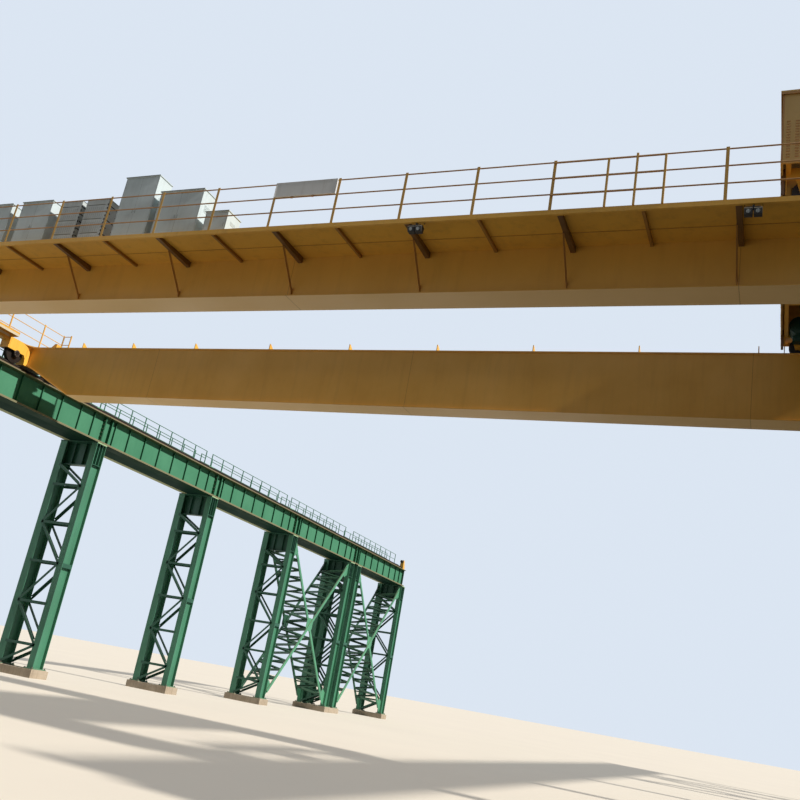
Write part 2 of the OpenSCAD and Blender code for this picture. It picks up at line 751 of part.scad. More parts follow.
module trolley_drives() {
    color([0.15, 0.30, 0.25]) for (m = [-1, 1]) translate([trolley_x - crab_base, bridge_y + m * girder_gap / 2, 0]) {
        s = -m;
        translate([15, s * 150 + (s < 0 ? 0 : crab_drive_l), frame_bot + 130]) rotate([90, 0, 0])
            cylinder(h = crab_drive_l, d = 460, $fn = 48);
        box(-130, 170, s > 0 ? 150 : -400, s > 0 ? 400 : -150, frame_bot - 190, frame_bot + 290);
    }
}

module hoist_ropes() {
    color([0.3, 0.3, 0.32]) for (y = [-620, -200, 200, 620])
        translate([trolley_x + rope_x, bridge_y + y, hook_z + 330]) cylinder(h = drum_z - hook_z - 330, d = 26, $fn = 24);
}

module hook_block() {
    x = trolley_x + rope_x;
    color(yellow) {
        for (y = [-700, 660]) translate([x, bridge_y + y + 40, hook_z]) rotate([90, 0, 0])
            linear_extrude(height = 40) {
                circle(r = 330, $fn = 48);
                translate([-160, -480]) square([320, 480]);
            }
        translate([x - 160, bridge_y - 660, hook_z - 480]) cube([320, 1320, 200]);
        for (y = [-620, 200]) translate([x, bridge_y + y + 420, hook_z]) rotate([90, 0, 0]) cylinder(h = 420, r = 330, $fn = 48);
        translate([x, bridge_y + 660, hook_z]) rotate([90, 0, 0]) cylinder(h = 1320, d = 120, $fn = 48);
    }
}

// Ramshorn hook: a turned shank and two curved arms.
module hook() {
    x = trolley_x + rope_x;
    color([0.25, 0.24, 0.24]) translate([x, bridge_y, hook_z - 480]) {
        translate([0, 0, -420]) cylinder(h = 420, d = 150, $fn = 48);
        translate([0, 0, -90]) cylinder(h = 90, d = 300, $fn = 48);
        for (m = [-1, 1]) translate([0, 0, -420]) rotate([90, 0, 0]) mirror([m < 0 ? 1 : 0, 0, 0])
            linear_extrude(height = 130, center = true) difference() {
                union() {
                    translate([210, 0]) circle(r = 270, $fn = 64);
                    translate([-5, -150]) square([80, 200]);
                }
                translate([215, 40]) circle(r = 150, $fn = 64);
                translate([90, 60]) square([240, 300]);
                translate([-100, -300]) square([95, 600]);
            }
    }
}

scale(model_scale) plinths();
scale(model_scale) column_legs();
scale(model_scale) left_lacing();
scale(model_scale) right_lacing();
scale(model_scale) column_heads();
scale(model_scale) leg_stiffeners();
scale(model_scale) runway_beams();
scale(model_scale) runway_rails();
scale(model_scale) walkway_beams();
scale(model_scale) walkway_decks();
scale(model_scale) inner_railings();
scale(model_scale) outer_railings();
scale(model_scale) column_upstands();
scale(model_scale) bay_braces();
scale(model_scale) brace_battens();
scale(model_scale) brace_gussets();
scale(model_scale) end_stops();
scale(model_scale) end_buffers();
scale(model_scale) near_girder();
scale(model_scale) far_girder();
scale(model_scale) end_carriages();
scale(model_scale) bridge_wheels();
scale(model_scale) wheel_housings();
scale(model_scale) end_platforms();
scale(model_scale) end_railings();
scale(model_scale) travel_drives();
scale(model_scale) near_walkway();
scale(model_scale) near_railing();
scale(model_scale) far_walkway();
scale(model_scale) far_railing();
scale(model_scale) gate_rails();
scale(model_scale) sign_board();
scale(model_scale) floodlights();
scale(model_scale) control_cabinets();
scale(model_scale) resistor_boxes();
scale(model_scale) trolley_rails();
scale(model_scale) trolley_stops();
scale(model_scale) cable_brackets();
scale(model_scale) trolley_frame();
scale(model_scale) trolley_wheels();
scale(model_scale) trolley_brackets();
scale(model_scale) machine_house();
scale(model_scale) hoist_drum();
scale(model_scale) trolley_drives();
scale(model_scale) hoist_ropes();
scale(model_scale) hook_block();
scale(model_scale) hook();
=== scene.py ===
"""Looks of the travelling gantry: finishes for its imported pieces, and the fine steelwork on them.

Lengths in the making functions are those of the real crane in millimetres; SCALE turns them into the
model's metres at 1:2. X runs across the span, Y along the runway, Z up.
"""

import math

import bmesh
import bpy
from mathutils import Matrix, Vector


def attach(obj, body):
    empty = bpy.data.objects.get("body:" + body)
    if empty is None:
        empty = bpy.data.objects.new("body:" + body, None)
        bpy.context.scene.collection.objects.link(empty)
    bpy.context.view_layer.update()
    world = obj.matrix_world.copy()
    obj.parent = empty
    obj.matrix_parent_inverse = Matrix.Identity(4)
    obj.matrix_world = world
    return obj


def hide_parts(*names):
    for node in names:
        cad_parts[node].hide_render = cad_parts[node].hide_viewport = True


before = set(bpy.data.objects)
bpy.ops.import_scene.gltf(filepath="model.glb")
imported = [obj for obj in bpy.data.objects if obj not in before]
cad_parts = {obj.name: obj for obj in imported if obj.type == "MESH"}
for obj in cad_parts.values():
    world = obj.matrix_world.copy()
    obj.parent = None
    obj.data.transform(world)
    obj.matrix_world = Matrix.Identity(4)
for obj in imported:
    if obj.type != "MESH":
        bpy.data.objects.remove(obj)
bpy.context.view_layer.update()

SCALE = 0.0005
TURN = 2 * math.pi

# Main sizes of the crane
SPAN, BAY, BAYS = 31500, 8500, 6
RAIL_X = SPAN / 2
RAIL_TOP, BEAM_TOP, BEAM_BOT = 10780, 10580, 9396
PLINTH = 300
LEG_TOP = BEAM_BOT - 46
IN_X, OUT_X = RAIL_X - 140, RAIL_X + 1520
IN_W, OUT_W, LEG_D = 300, 350, 550
RUN_Y0 = -BAYS * BAY / 2
TWIN, TWIN_LINE = 1100, 5
BRACED = (TWIN_LINE - 1, TWIN_LINE)
LINES = [RUN_Y0 + i * BAY for i in range(BAYS + 1)]
COLUMNS = [y - TWIN / 2 if i == TWIN_LINE else y for i, y in enumerate(LINES)]
COLUMNS.append(LINES[TWIN_LINE] + TWIN / 2)
FLANGE_W, FLANGE_T, WEB_T, LIP = 600, 25, 20, 70
RIBS = (380, 400, 700, 1640, 2720, 3800, 4880, 5960, 7040, 7830)
RUN_FENCE_H = 1082
BRIDGE_Y, GIRDER_GAP = -16600, 7240
NEAR_Y, FAR_Y = BRIDGE_Y - GIRDER_GAP / 2, BRIDGE_Y + GIRDER_GAP / 2
AXLE_Z = RAIL_TOP + 0.6 + 330
WHEEL_Y = 920
GIRDER_TOP = AXLE_Z + 495
GIRDER_BOT = GIRDER_TOP - 1835
WALK_TOP = GIRDER_TOP - 825
WALK_Y0 = NEAR_Y - 330
WALK_Y1 = WALK_Y0 - 1360
WALK_X = RAIL_X - 1010
BAR_GAP, BAR_X, MAIN_BAR_X = 1575, 110, 155
POST_GAP, ACCESS = 1561, 4
RAIL_H, LEVELS = 1110, (356, 717, 1070)
FENCE_Y, FENCE_Y1 = WALK_Y1 + 10, NEAR_Y - 390
PLAT_TOP = GIRDER_TOP + 120
CAR_X0, CAR_X1 = RAIL_X - 210, RAIL_X + 210
CRAB_X = 11915
CRAB_RAIL_X = RAIL_X - 1130
CRAB_AXLE = GIRDER_TOP + 100.6 + 200
FRAME_BOT = CRAB_AXLE + 230
FRAME_TOP = FRAME_BOT + 240
HOUSE_Y0, HOUSE_Y1 = NEAR_Y - 580, FAR_Y + 580
HOUSE_BOT = FRAME_TOP - 165
HOUSE_TOP = HOUSE_BOT + 1580
DRUM_Y, DRUM_Z = BRIDGE_Y + 1400, FRAME_TOP + 560

# Camera, solved from the photo's vanishing points
PHOTO_PX, FOCAL_PX = 800, 883.8
EYE = (5.28, -18.0, 0.865)
EYE_RIGHT = (0.91355621, 0.36969314, 0.16953475)
EYE_UP = (-0.02983023, -0.35481331, 0.93446117)
EYE_FORWARD = (-0.40561707, 0.85874006, 0.31311387)


# Shader helpers


def put(tree, kind, place=(0, 0), **values):
    """Adds a node at a place in its tree, with its settings."""
    node = tree.nodes.new(kind)
    node.location = place
    for key, value in values.items():
        setattr(node, key, value)
    return node


def join(tree, out, into):
    tree.links.new(out, into)


def feed(tree, value, socket):
    """Sets a socket to a number or a colour, or joins another node's output to it."""
    if isinstance(value, (int, float, tuple)):
        socket.default_value = value
    else:
        join(tree, value, socket)


def new_group(name, inputs, outputs):
    """An empty shader group; inputs and outputs are {name: (socket type, default)}."""
    group = bpy.data.node_groups.new(name, "ShaderNodeTree")
    for key, (kind, default) in inputs.items():
        socket = group.interface.new_socket(key, in_out="INPUT", socket_type=kind)
        if default is not None:
            socket.default_value = default
    for key, kind in outputs.items():
        group.interface.new_socket(key, in_out="OUTPUT", socket_type=kind)
    return group, put(group, "NodeGroupInput", (-900, 0)), put(group, "NodeGroupOutput", (900, 0))


def noise(tree, place, scale, detail=4.0, rough=0.55, stretch=None, at=(0, 0)):
    """A noise texture on a place vector, with an optional stretch, and its value socket."""
    if stretch:
        mapping = put(tree, "ShaderNodeMapping", (at[0] - 200, at[1]))
        mapping.inputs["Scale"].default_value = stretch
        join(tree, place, mapping.inputs["Vector"])
        place = mapping.outputs["Vector"]
    texture = put(tree, "ShaderNodeTexNoise", at)
    texture.inputs["Scale"].default_value = scale
    texture.inputs["Detail"].default_value = detail
    texture.inputs["Roughness"].default_value = rough
    join(tree, place, texture.inputs["Vector"])
    return texture.outputs["Fac"]


def ramp(tree, value, low, high, to_low=0.0, to_high=1.0, at=(0, 0)):
    """Turns the range from low to high into to_low to to_high, and stays inside it."""
    node = put(tree, "ShaderNodeMapRange", at, clamp=True)
    join(tree, value, node.inputs["Value"])
    for key, number in (("From Min", low), ("From Max", high), ("To Min", to_low), ("To Max", to_high)):
        node.inputs[key].default_value = number
    return node.outputs["Result"]


def sums(tree, operation, a, b, at=(0, 0), clamp=False):
    """One step of arithmetic on numbers or sockets."""
    node = put(tree, "ShaderNodeMath", at, operation=operation, use_clamp=clamp)
    feed(tree, a, node.inputs[0])
    feed(tree, b, node.inputs[1])
    return node.outputs[0]


def blend_colour(tree, amount, a, b, at=(0, 0)):
    """Colour a, turned to b by the amount; the sockets 0, 6, 7 and 2 are those of the colour mode."""
    node = put(tree, "ShaderNodeMix", at, data_type="RGBA")
    feed(tree, amount, node.inputs[0])
    feed(tree, a, node.inputs[6])
    feed(tree, b, node.inputs[7])
    return node.outputs[2]


def tone(red, green, blue):
    """A colour as seen, turned into the linear values that shaders read."""
    def line(c):
        return c / 12.92 if c <= 0.04045 else ((c + 0.055) / 1.055) ** 2.4
    return (line(red), line(green), line(blue), 1.0)


def make_weather():
    """Mottle, rain streaks, settled dust and rust spots for any outdoor finish."""
    group, source, result = new_group(
        "outdoor_weather",
        {"Place": ("NodeSocketVector", None), "Facing": ("NodeSocketVector", None),
         "Grain": ("NodeSocketFloat", 1.0)},
        {"Mottle": "NodeSocketFloat", "Streaks": "NodeSocketFloat", "Dust": "NodeSocketFloat",
         "Rust": "NodeSocketFloat", "Height": "NodeSocketFloat"})
    scaled = put(group, "ShaderNodeVectorMath", (-700, 0), operation="SCALE")
    join(group, source.outputs["Place"], scaled.inputs[0])
    join(group, source.outputs["Grain"], scaled.inputs["Scale"])
    place = scaled.outputs[0]
    broad = noise(group, place, 0.9, 5.0, 0.6, at=(-400, 400))
    fine = noise(group, place, 38.0, 3.0, 0.6, at=(-400, 200))
    rain = noise(group, place, 9.0, 4.0, 0.65, (1.0, 1.0, 0.09), (-400, 0))
    spots = noise(group, place, 17.0, 6.0, 0.7, at=(-400, -200))
    up = put(group, "ShaderNodeSeparateXYZ", (-400, -400))
    join(group, source.outputs["Facing"], up.inputs[0])
    join(group, ramp(group, broad, 0.3, 0.7, at=(0, 400)), result.inputs["Mottle"])
    join(group, ramp(group, rain, 0.5, 0.74, at=(0, 200)), result.inputs["Streaks"])
    top = ramp(group, up.outputs["Z"], 0.35, 0.95, at=(0, 0))
    loose = ramp(group, spots, 0.35, 0.6, 0.45, 1.0, at=(0, -100))
    join(group, sums(group, "MULTIPLY", top, loose, (300, 0)), result.inputs["Dust"])
    join(group, ramp(group, spots, 0.66, 0.74, at=(0, -200)), result.inputs["Rust"])
    dents = sums(group, "MULTIPLY", broad, 0.8, (0, -350))
    join(group, sums(group, "ADD", dents, sums(group, "MULTIPLY", fine, 0.05, (0, -500)), (300, -400)),
         result.inputs["Height"])
    return group


def make_bead_lines():
    """Evenly spaced straight weld seams across one direction, as a mask."""
    group, source, result = new_group(
        "plate_seams",
        {"Along": ("NodeSocketFloat", 0.0), "Spacing": ("NodeSocketFloat", 1.0),
         "Width": ("NodeSocketFloat", 0.01)},
        {"Seam": "NodeSocketFloat"})
    wave = put(group, "ShaderNodeMath", (-400, 0), operation="PINGPONG")
    join(group, source.outputs["Along"], wave.inputs[0])
    join(group, source.outputs["Spacing"], wave.inputs[1])
    near = put(group, "ShaderNodeMath", (0, 0), operation="LESS_THAN")
    join(group, wave.outputs[0], near.inputs[0])
    join(group, source.outputs["Width"], near.inputs[1])
    join(group, near.outputs[0], result.inputs["Seam"])
    return group


weather = make_weather()
plate_seams = make_bead_lines()


class Finish:
    """A material with its Principled shader, and the weather group already placed on it."""

    def __init__(self, name, grain=1.0, roughness=(0.4, 0.6), metallic=0.0, bump=0.15):
        self.material = bpy.data.materials.new(name)
        self.material.use_nodes = True
        self.tree = self.material.node_tree
        self.shader = self.tree.nodes["Principled BSDF"]
        self.coords = put(self.tree, "ShaderNodeTexCoord", (-1400, 0))
        self.geometry = put(self.tree, "ShaderNodeNewGeometry", (-1400, -300))
        self.weather = put(self.tree, "ShaderNodeGroup", (-1100, 0), node_tree=weather)
        self.weather.inputs["Grain"].default_value = grain
        join(self.tree, self.coords.outputs["Object"], self.weather.inputs["Place"])
        join(self.tree, self.geometry.outputs["Normal"], self.weather.inputs["Facing"])
        self.shader.inputs["Metallic"].default_value = metallic
        rough = ramp(self.tree, self.weather.outputs["Mottle"], 0.0, 1.0, *roughness, (-500, -300))
        join(self.tree, rough, self.shader.inputs["Roughness"])
        self.height = self.weather.outputs["Height"]
        self.bump = bump
        self.colour = None

    def paint(self, fresh, aged):
        """The bare finish, from fresh to aged in broad patches."""
        self.colour = blend_colour(self.tree, self.weather.outputs["Mottle"], fresh, aged, (-800, 200))
        return self

    def over(self, mask, colour, amount):
        """Lays a colour over what is there, where the mask says; mask is a weather output or a socket."""
        if isinstance(mask, str):
            mask = self.weather.outputs[mask]
        part = sums(self.tree, "MULTIPLY", mask, amount, (-700, 0))
        self.colour = blend_colour(self.tree, part, self.colour, colour, (-500, 200))
        return self

    def place(self, axis):
        split = put(self.tree, "ShaderNodeSeparateXYZ", (-1200, 300))
        join(self.tree, self.coords.outputs["Object"], split.inputs[0])
        return split.outputs[axis]

    def facing(self, axis):
        split = put(self.tree, "ShaderNodeSeparateXYZ", (-1200, -500))
        join(self.tree, self.geometry.outputs["Normal"], split.inputs[0])
        return split.outputs[axis]

    def between(self, value, low, high):
        """1 where the value lies between low and high."""
        over = sums(self.tree, "GREATER_THAN", value, low)
        under = sums(self.tree, "LESS_THAN", value, high)
        return self.both(over, under)

    def both(self, a, b):
        return sums(self.tree, "MULTIPLY", a, b)

    def band(self, low, high):
        """1 between two heights, given in real millimetres."""
        return self.between(self.place("Z"), low * SCALE, high * SCALE)

    def beyond(self, distance):
        """1 further from the middle of the span than a distance in real millimetres."""
        return sums(self.tree, "GREATER_THAN", sums(self.tree, "ABSOLUTE", self.place("X"), 0.0),
                    distance * SCALE)

    def under(self):
        """1 on faces that look down."""
        return ramp(self.tree, self.facing("Z"), -0.9, -0.5, 1.0, 0.0)

    def sideways(self):
        """How squarely a face looks along the span, from 0 to 1."""
        return sums(self.tree, "ABSOLUTE", self.facing("X"), 0.0)

    def seams(self, axis, spacing, width):
        node = put(self.tree, "ShaderNodeGroup", (-900, 500), node_tree=plate_seams)
        join(self.tree, self.place(axis), node.inputs["Along"])
        node.inputs["Spacing"].default_value = spacing
        node.inputs["Width"].default_value = width
        return node.outputs["Seam"]

    def raise_by(self, mask, amount):
        self.height = sums(self.tree, "ADD", self.height, self.both(mask, amount))
        return self

    def done(self, distance=0.01):
        bump = put(self.tree, "ShaderNodeBump", (-300, -500))
        bump.inputs["Strength"].default_value = self.bump
        bump.inputs["Distance"].default_value = distance
        join(self.tree, self.height, bump.inputs["Height"])
        join(self.tree, bump.outputs["Normal"], self.shader.inputs["Normal"])
        join(self.tree, self.colour, self.shader.inputs["Base Color"])
        return self.material


DUST = tone(0.74, 0.68, 0.56)
RUST = tone(0.42, 0.22, 0.12)
GRIME = tone(0.20, 0.16, 0.10)


def make_yellow(name, fresh, aged, seams=False):
    """Crane paint; seams adds the weld lines of the box girders and painted light on their faces that look
    down, a pale cream as if lit from the sunny ground below.
    """
    finish = Finish(name, 1.0, (0.34, 0.52), 0.0, 0.12).paint(fresh, aged)
    finish.over("Streaks", tone(0.50, 0.34, 0.12), 0.12 if seams else 0.22)
    finish.over("Dust", DUST, 0.55).over("Rust", RUST, 0.1 if seams else 0.25)
    if seams:
        # Painted light: faces that look down turn pale cream, as if lit from the sunny ground below.
        finish.over(finish.under(), tone(0.97, 0.81, 0.54), 0.8)
        seam = finish.seams("X", 2.4, 0.004)
        finish.over(seam, tone(0.58, 0.40, 0.14), 0.6).raise_by(seam, 0.35)
    return finish.done()


def make_carriage_paint():
    """End carriages: bright crane yellow, with painted shade, near black, on their low faces that look down.
    """
    finish = Finish("carriage_yellow", 1.0, (0.34, 0.52), 0.0, 0.12)
    finish.paint(tone(0.99, 0.76, 0.30), tone(0.95, 0.71, 0.27))
    finish.over("Streaks", tone(0.50, 0.34, 0.12), 0.2).over("Dust", DUST, 0.55).over("Rust", RUST, 0.2)
    # Painted shade: faces that look down, below a little above axle height, turn near black.
    low = sums(finish.tree, "LESS_THAN", finish.place("Z"), (AXLE_Z + 120) * SCALE)
    finish.over(finish.both(finish.under(), low), tone(0.10, 0.08, 0.06), 0.9)
    return finish.done()


def make_platform_paint():
    """End platform: a cream band along its edge channel, crane yellow above and below."""
    finish = Finish("platform_yellow", 1.0, (0.34, 0.52), 0.0, 0.12)
    finish.paint(tone(0.90, 0.68, 0.28), tone(0.84, 0.62, 0.24))
    finish.over("Streaks", tone(0.50, 0.36, 0.16), 0.2)
    channel = finish.band(PLAT_TOP - 161, PLAT_TOP - 72)
    finish.over(finish.both(channel, finish.sideways()), tone(0.81, 0.78, 0.69), 0.9)
    return finish.over("Dust", DUST, 0.55).over("Rust", RUST, 0.25).done()


def make_green(name, fresh, aged, streaks=0.3, dust=0.6, far_plane_shade=None):
    """Column and bracing paint, with optional painted shade, dark green, on the plane away from the span; the
    last argument gives how much.
    """
    finish = Finish(name, 1.3, (0.38, 0.58), 0.0, 0.12).paint(fresh, aged)
    finish.over("Streaks", tone(0.20, 0.36, 0.28), streaks)
    finish.over("Dust", DUST, dust).over("Rust", RUST, 0.15)
    if far_plane_shade:
        # Painted shade: the brace plane away from the span turns dark green.
        finish.over(finish.beyond(RAIL_X + 700), tone(0.10, 0.26, 0.18), far_plane_shade)
    return finish.done()


def make_head_green():
    """Column heads: dark boxes with a pale, sunlit cap plate edge."""
    finish = Finish("head_green", 1.3, (0.38, 0.58), 0.0, 0.12)
    finish.paint(tone(0.17, 0.37, 0.29), tone(0.14, 0.31, 0.24))
    finish.over("Streaks", tone(0.11, 0.24, 0.18), 0.3).over("Dust", DUST, 0.6)
    cap = finish.band(LEG_TOP + 1, BEAM_BOT - 0.5)
    side = ramp(finish.tree, finish.sideways(), 0.6, 0.9)
    finish.over(finish.both(cap, side), tone(0.62, 0.74, 0.56), 0.9)
    return finish.done()


def make_beam_green():
    """Runway girder paint: pale dust on the flange edges, darker weld lines along the web, and painted shade:
    dark green on faces that look down, olive under the top flange, darker green on faces that look towards
    -Y.
    """
    finish = Finish("runway_girder_paint", 1.3, (0.52, 0.72), 0.0, 0.15)
    finish.shader.inputs["Specular IOR Level"].default_value = 0.03
    finish.paint(tone(0.330, 0.560, 0.440), tone(0.290, 0.515, 0.400))
    finish.over("Streaks", tone(0.24, 0.44, 0.34), 0.25).over("Dust", DUST, 0.7).over("Rust", RUST, 0.15)
    flanges = sums(finish.tree, "ADD", finish.band(BEAM_BOT - 1, BEAM_BOT + LIP + 1),
                   finish.band(BEAM_TOP - FLANGE_T - 1, BEAM_TOP + 1))
    side = ramp(finish.tree, finish.sideways(), 0.6, 0.9)
    finish.over(sums(finish.tree, "MULTIPLY", flanges, side, clamp=True), tone(0.56, 0.51, 0.40), 0.9)
    # Painted shade: faces that look down turn dark green, and under the top flange an olive tone.
    under = finish.under()
    finish.over(under, tone(0.09, 0.20, 0.145), 0.95)
    upper = sums(finish.tree, "GREATER_THAN", finish.place("Z"), (BEAM_TOP - 60) * SCALE)
    finish.over(finish.both(under, upper), tone(0.30, 0.36, 0.24), 0.95)
    # Painted shade: faces that look towards -Y, which the sun hardly reaches, turn darker green.
    back_face_shade = ramp(finish.tree, finish.facing("Y"), -0.9, -0.5, 1.0, 0.0)
    finish.over(back_face_shade, tone(0.13, 0.33, 0.235), 0.9)
    weld = sums(finish.tree, "ADD", finish.band(BEAM_BOT + FLANGE_T, BEAM_BOT + FLANGE_T + 12),
                finish.band(BEAM_TOP - FLANGE_T - 12, BEAM_TOP - FLANGE_T))
    finish.over(weld, tone(0.20, 0.40, 0.31), 0.6).raise_by(weld, 0.25)
    return finish.done()


def make_soffit_green():
    """Walkway channel: painted shade on the faces that look down, painted light, pale as if lit from the
    ground, on the underside of its outer edge, and pale dust along the sides of its bottom edge.
    """
    finish = Finish("walkway_soffit_paint", 1.2, (0.6, 0.8), 0.0, 0.1)
    finish.shader.inputs["Specular IOR Level"].default_value = 0.04
    finish.paint(tone(0.26, 0.48, 0.38), tone(0.22, 0.42, 0.33))
    finish.over("Streaks", tone(0.16, 0.30, 0.24), 0.35).over("Dust", DUST, 0.6)
    under = finish.under()
    # Painted shade: faces that look down turn dark green.
    finish.over(under, tone(0.085, 0.20, 0.165), 0.97)
    # Painted light: the underside of the outer edge turns pale, as if lit from the sunny ground.
    finish.over(finish.both(under, finish.beyond(RAIL_X + 1230)), tone(0.70, 0.71, 0.56), 0.9)
    edge = finish.band(BEAM_BOT + 1, BEAM_BOT + 20)
    finish.over(finish.both(edge, finish.sideways()), tone(0.72, 0.70, 0.60), 0.85)
    return finish.done()


def make_deck(name, fresh, aged, dust):
    """Raised-pattern floor plate: small crossed lugs on the faces that look up."""
    finish = Finish(name, 1.4, (0.4, 0.62), 0.0, 0.4).paint(fresh, aged)
    finish.over("Streaks", GRIME, 0.15).over("Dust", dust, 0.6).over("Rust", RUST, 0.3)
    weave = put(finish.tree, "ShaderNodeTexBrick", (-900, 700))
    weave.inputs["Scale"].default_value = 26.0
    weave.inputs["Mortar Size"].default_value = 0.34
    weave.inputs["Mortar Smooth"].default_value = 0.6
    turn = put(finish.tree, "ShaderNodeMapping", (-1100, 700))
    turn.inputs["Rotation"].default_value = (0, 0, math.radians(45))
    join(finish.tree, finish.coords.outputs["Object"], turn.inputs["Vector"])
    join(finish.tree, turn.outputs["Vector"], weave.inputs["Vector"])
    lugs = sums(finish.tree, "SUBTRACT", 1.0, weave.outputs["Fac"])
    top = ramp(finish.tree, finish.facing("Z"), 0.8, 0.95)
    finish.raise_by(finish.both(lugs, top), 0.3)
    return finish.done(0.004)


def make_concrete():
    finish = Finish("plinth_concrete", 3.0, (0.78, 0.95), 0.0, 0.5)
    finish.paint(tone(0.72, 0.66, 0.58), tone(0.62, 0.56, 0.48))
    finish.over("Streaks", tone(0.44, 0.38, 0.31), 0.5).over("Dust", tone(0.86, 0.81, 0.73), 0.8)
    pores = put(finish.tree, "ShaderNodeTexVoronoi", (-900, 700))
    pores.inputs["Scale"].default_value = 55.0
    join(finish.tree, finish.coords.outputs["Object"], pores.inputs["Vector"])
    hole = ramp(finish.tree, pores.outputs["Distance"], 0.0, 0.16, 1.0, 0.0)
    finish.over(hole, tone(0.36, 0.32, 0.27), 0.7).raise_by(hole, -0.6)
    form = finish.seams("Z", 0.045, 0.0009)
    finish.over(form, tone(0.50, 0.45, 0.38), 0.5).raise_by(form, -0.3)
    return finish.done(0.006)


def make_rail_steel(name, dark, worn, top_z):
    """Rolled rail: dark oxide, dust on its foot and web, and a band that the wheels polish; on the runway
    rail the near-black base is partly painted shade.
    """
    finish = Finish(name, 2.0, (0.55, 0.75), 0.25, 0.2).paint(dark, tone(0.15, 0.11, 0.09))
    foot = ramp(finish.tree, finish.place("Z"), top_z - 0.042, top_z - 0.034, 1.0, 0.0)
    finish.over("Streaks", RUST, 0.25).over(foot, tone(0.50, 0.44, 0.35), 0.85)
    near_top = finish.between(finish.place("Z"), top_z - 0.003, top_z + 0.01)
    run = finish.both(near_top, ramp(finish.tree, finish.facing("Z"), 0.7, 0.95))
    finish.over(run, worn, 0.8)
    return finish.done(0.004)


def make_iron(name, fresh, aged, oil=0.4, metallic=0.55):
    finish = Finish(name, 3.0, (0.35, 0.6), metallic, 0.35).paint(fresh, aged)
    finish.over("Streaks", tone(0.07, 0.06, 0.05), oil)
    finish.over("Rust", RUST, 0.6).over("Dust", DUST, 0.3)
    return finish.done(0.004)


def make_sheet_grey(name, fresh, aged, dark=0.25):
    """Powder-coated sheet metal of the electrical boxes."""
    finish = Finish(name, 2.2, (0.42, 0.6), 0.0, 0.12).paint(fresh, aged)
    finish.over("Streaks", tone(0.42, 0.44, 0.42), dark)
    finish.over("Dust", DUST, 0.4).over("Rust", RUST, 0.12)
    return finish.done(0.006)


def make_rubber():
    finish = Finish("buffer_rubber", 6.0, (0.7, 0.9), 0.0, 0.3)
    finish.paint(tone(0.10, 0.10, 0.10), tone(0.16, 0.15, 0.14)).over("Dust", DUST, 0.5)
    finish.over("Streaks", tone(0.24, 0.22, 0.20), 0.3)
    return finish.done(0.003)


def make_rope():
    """Wire rope: strands wound round it show as slanted ridges."""
    finish = Finish("rope_wire", 4.0, (0.35, 0.55), 0.8, 0.6)
    finish.paint(tone(0.34, 0.33, 0.32), tone(0.22, 0.20, 0.18))
    finish.over("Streaks", tone(0.10, 0.08, 0.06), 0.5)
    wave = put(finish.tree, "ShaderNodeTexWave", (-900, 700), wave_type="BANDS", bands_direction="DIAGONAL")
    wave.inputs["Scale"].default_value = 60.0
    join(finish.tree, finish.coords.outputs["Object"], wave.inputs["Vector"])
    finish.raise_by(wave.outputs["Fac"], 0.8).over(wave.outputs["Fac"], tone(0.46, 0.45, 0.44), 0.4)
    return finish.done(0.002)


def make_board():
    finish = Finish("board_white", 2.0, (0.35, 0.55), 0.0, 0.12)
    finish.paint(tone(0.93, 0.93, 0.92), tone(0.86, 0.86, 0.85))
    finish.over("Streaks", tone(0.66, 0.62, 0.56), 0.25).over("Dust", DUST, 0.3)
    return finish.done(0.004)


def make_lens():
    finish = Finish("lamp_lens", 5.0, (0.08, 0.2), 0.0, 0.2)
    finish.paint(tone(0.82, 0.85, 0.86), tone(0.62, 0.66, 0.68)).over("Dust", DUST, 0.2)
    ribs = finish.seams("X", 0.008, 0.0022)
    finish.over(ribs, tone(0.42, 0.45, 0.47), 0.6).raise_by(ribs, 0.4)
    finish.shader.inputs["Coat Weight"].default_value = 0.6
    finish.shader.inputs["Coat Roughness"].default_value = 0.08
    return finish.done(0.002)


YELLOW = tone(0.89, 0.68, 0.29)
YELLOW_AGED = tone(0.83, 0.62, 0.25)
# seams=True also gives the girders the painted light on their undersides.
girder_paint = make_yellow("girder_yellow", YELLOW, YELLOW_AGED, seams=True)
yellow_paint = make_yellow("crane_yellow", tone(0.94, 0.72, 0.29), tone(0.88, 0.66, 0.25))
carriage_paint = make_carriage_paint()
house_paint = make_yellow("house_yellow", tone(0.85, 0.71, 0.44), tone(0.78, 0.64, 0.38))
pale_yellow = make_platform_paint()
rail_brown = make_yellow("handrail_ochre", tone(0.72, 0.53, 0.29), tone(0.64, 0.46, 0.24))
# A darker copy of the crane yellow: painted shade, for the shaded faces of the posts.
shaded_post_ochre = make_yellow("shaded_post_ochre", tone(0.84, 0.65, 0.28), tone(0.76, 0.58, 0.25))
bar_brown = make_yellow("main_bar_brown", tone(0.48, 0.34, 0.17), tone(0.40, 0.27, 0.13))
minor_brown = make_yellow("crossbar_brown", tone(0.68, 0.48, 0.20), tone(0.60, 0.42, 0.17))
brace_brown = make_yellow("knee_brace_brown", tone(0.80, 0.57, 0.24), tone(0.72, 0.50, 0.21))
seam_brown = make_yellow("seam_brown", tone(0.74, 0.52, 0.20), tone(0.66, 0.45, 0.17))
walk_deck = make_deck("bridge_floor_plate", YELLOW, YELLOW_AGED, DUST)
runway_deck = make_deck("runway_floor_plate", tone(0.27, 0.50, 0.39), tone(0.23, 0.43, 0.33), DUST)
leg_green = make_green("column_green", tone(0.295, 0.530, 0.415), tone(0.255, 0.470, 0.365))
lace_green = make_green("lacing_green", tone(0.16, 0.36, 0.27), tone(0.12, 0.30, 0.22), dust=0.12)
head_green = make_head_green()
fence_green = make_green("railing_green", tone(0.25, 0.50, 0.38), tone(0.20, 0.42, 0.32))
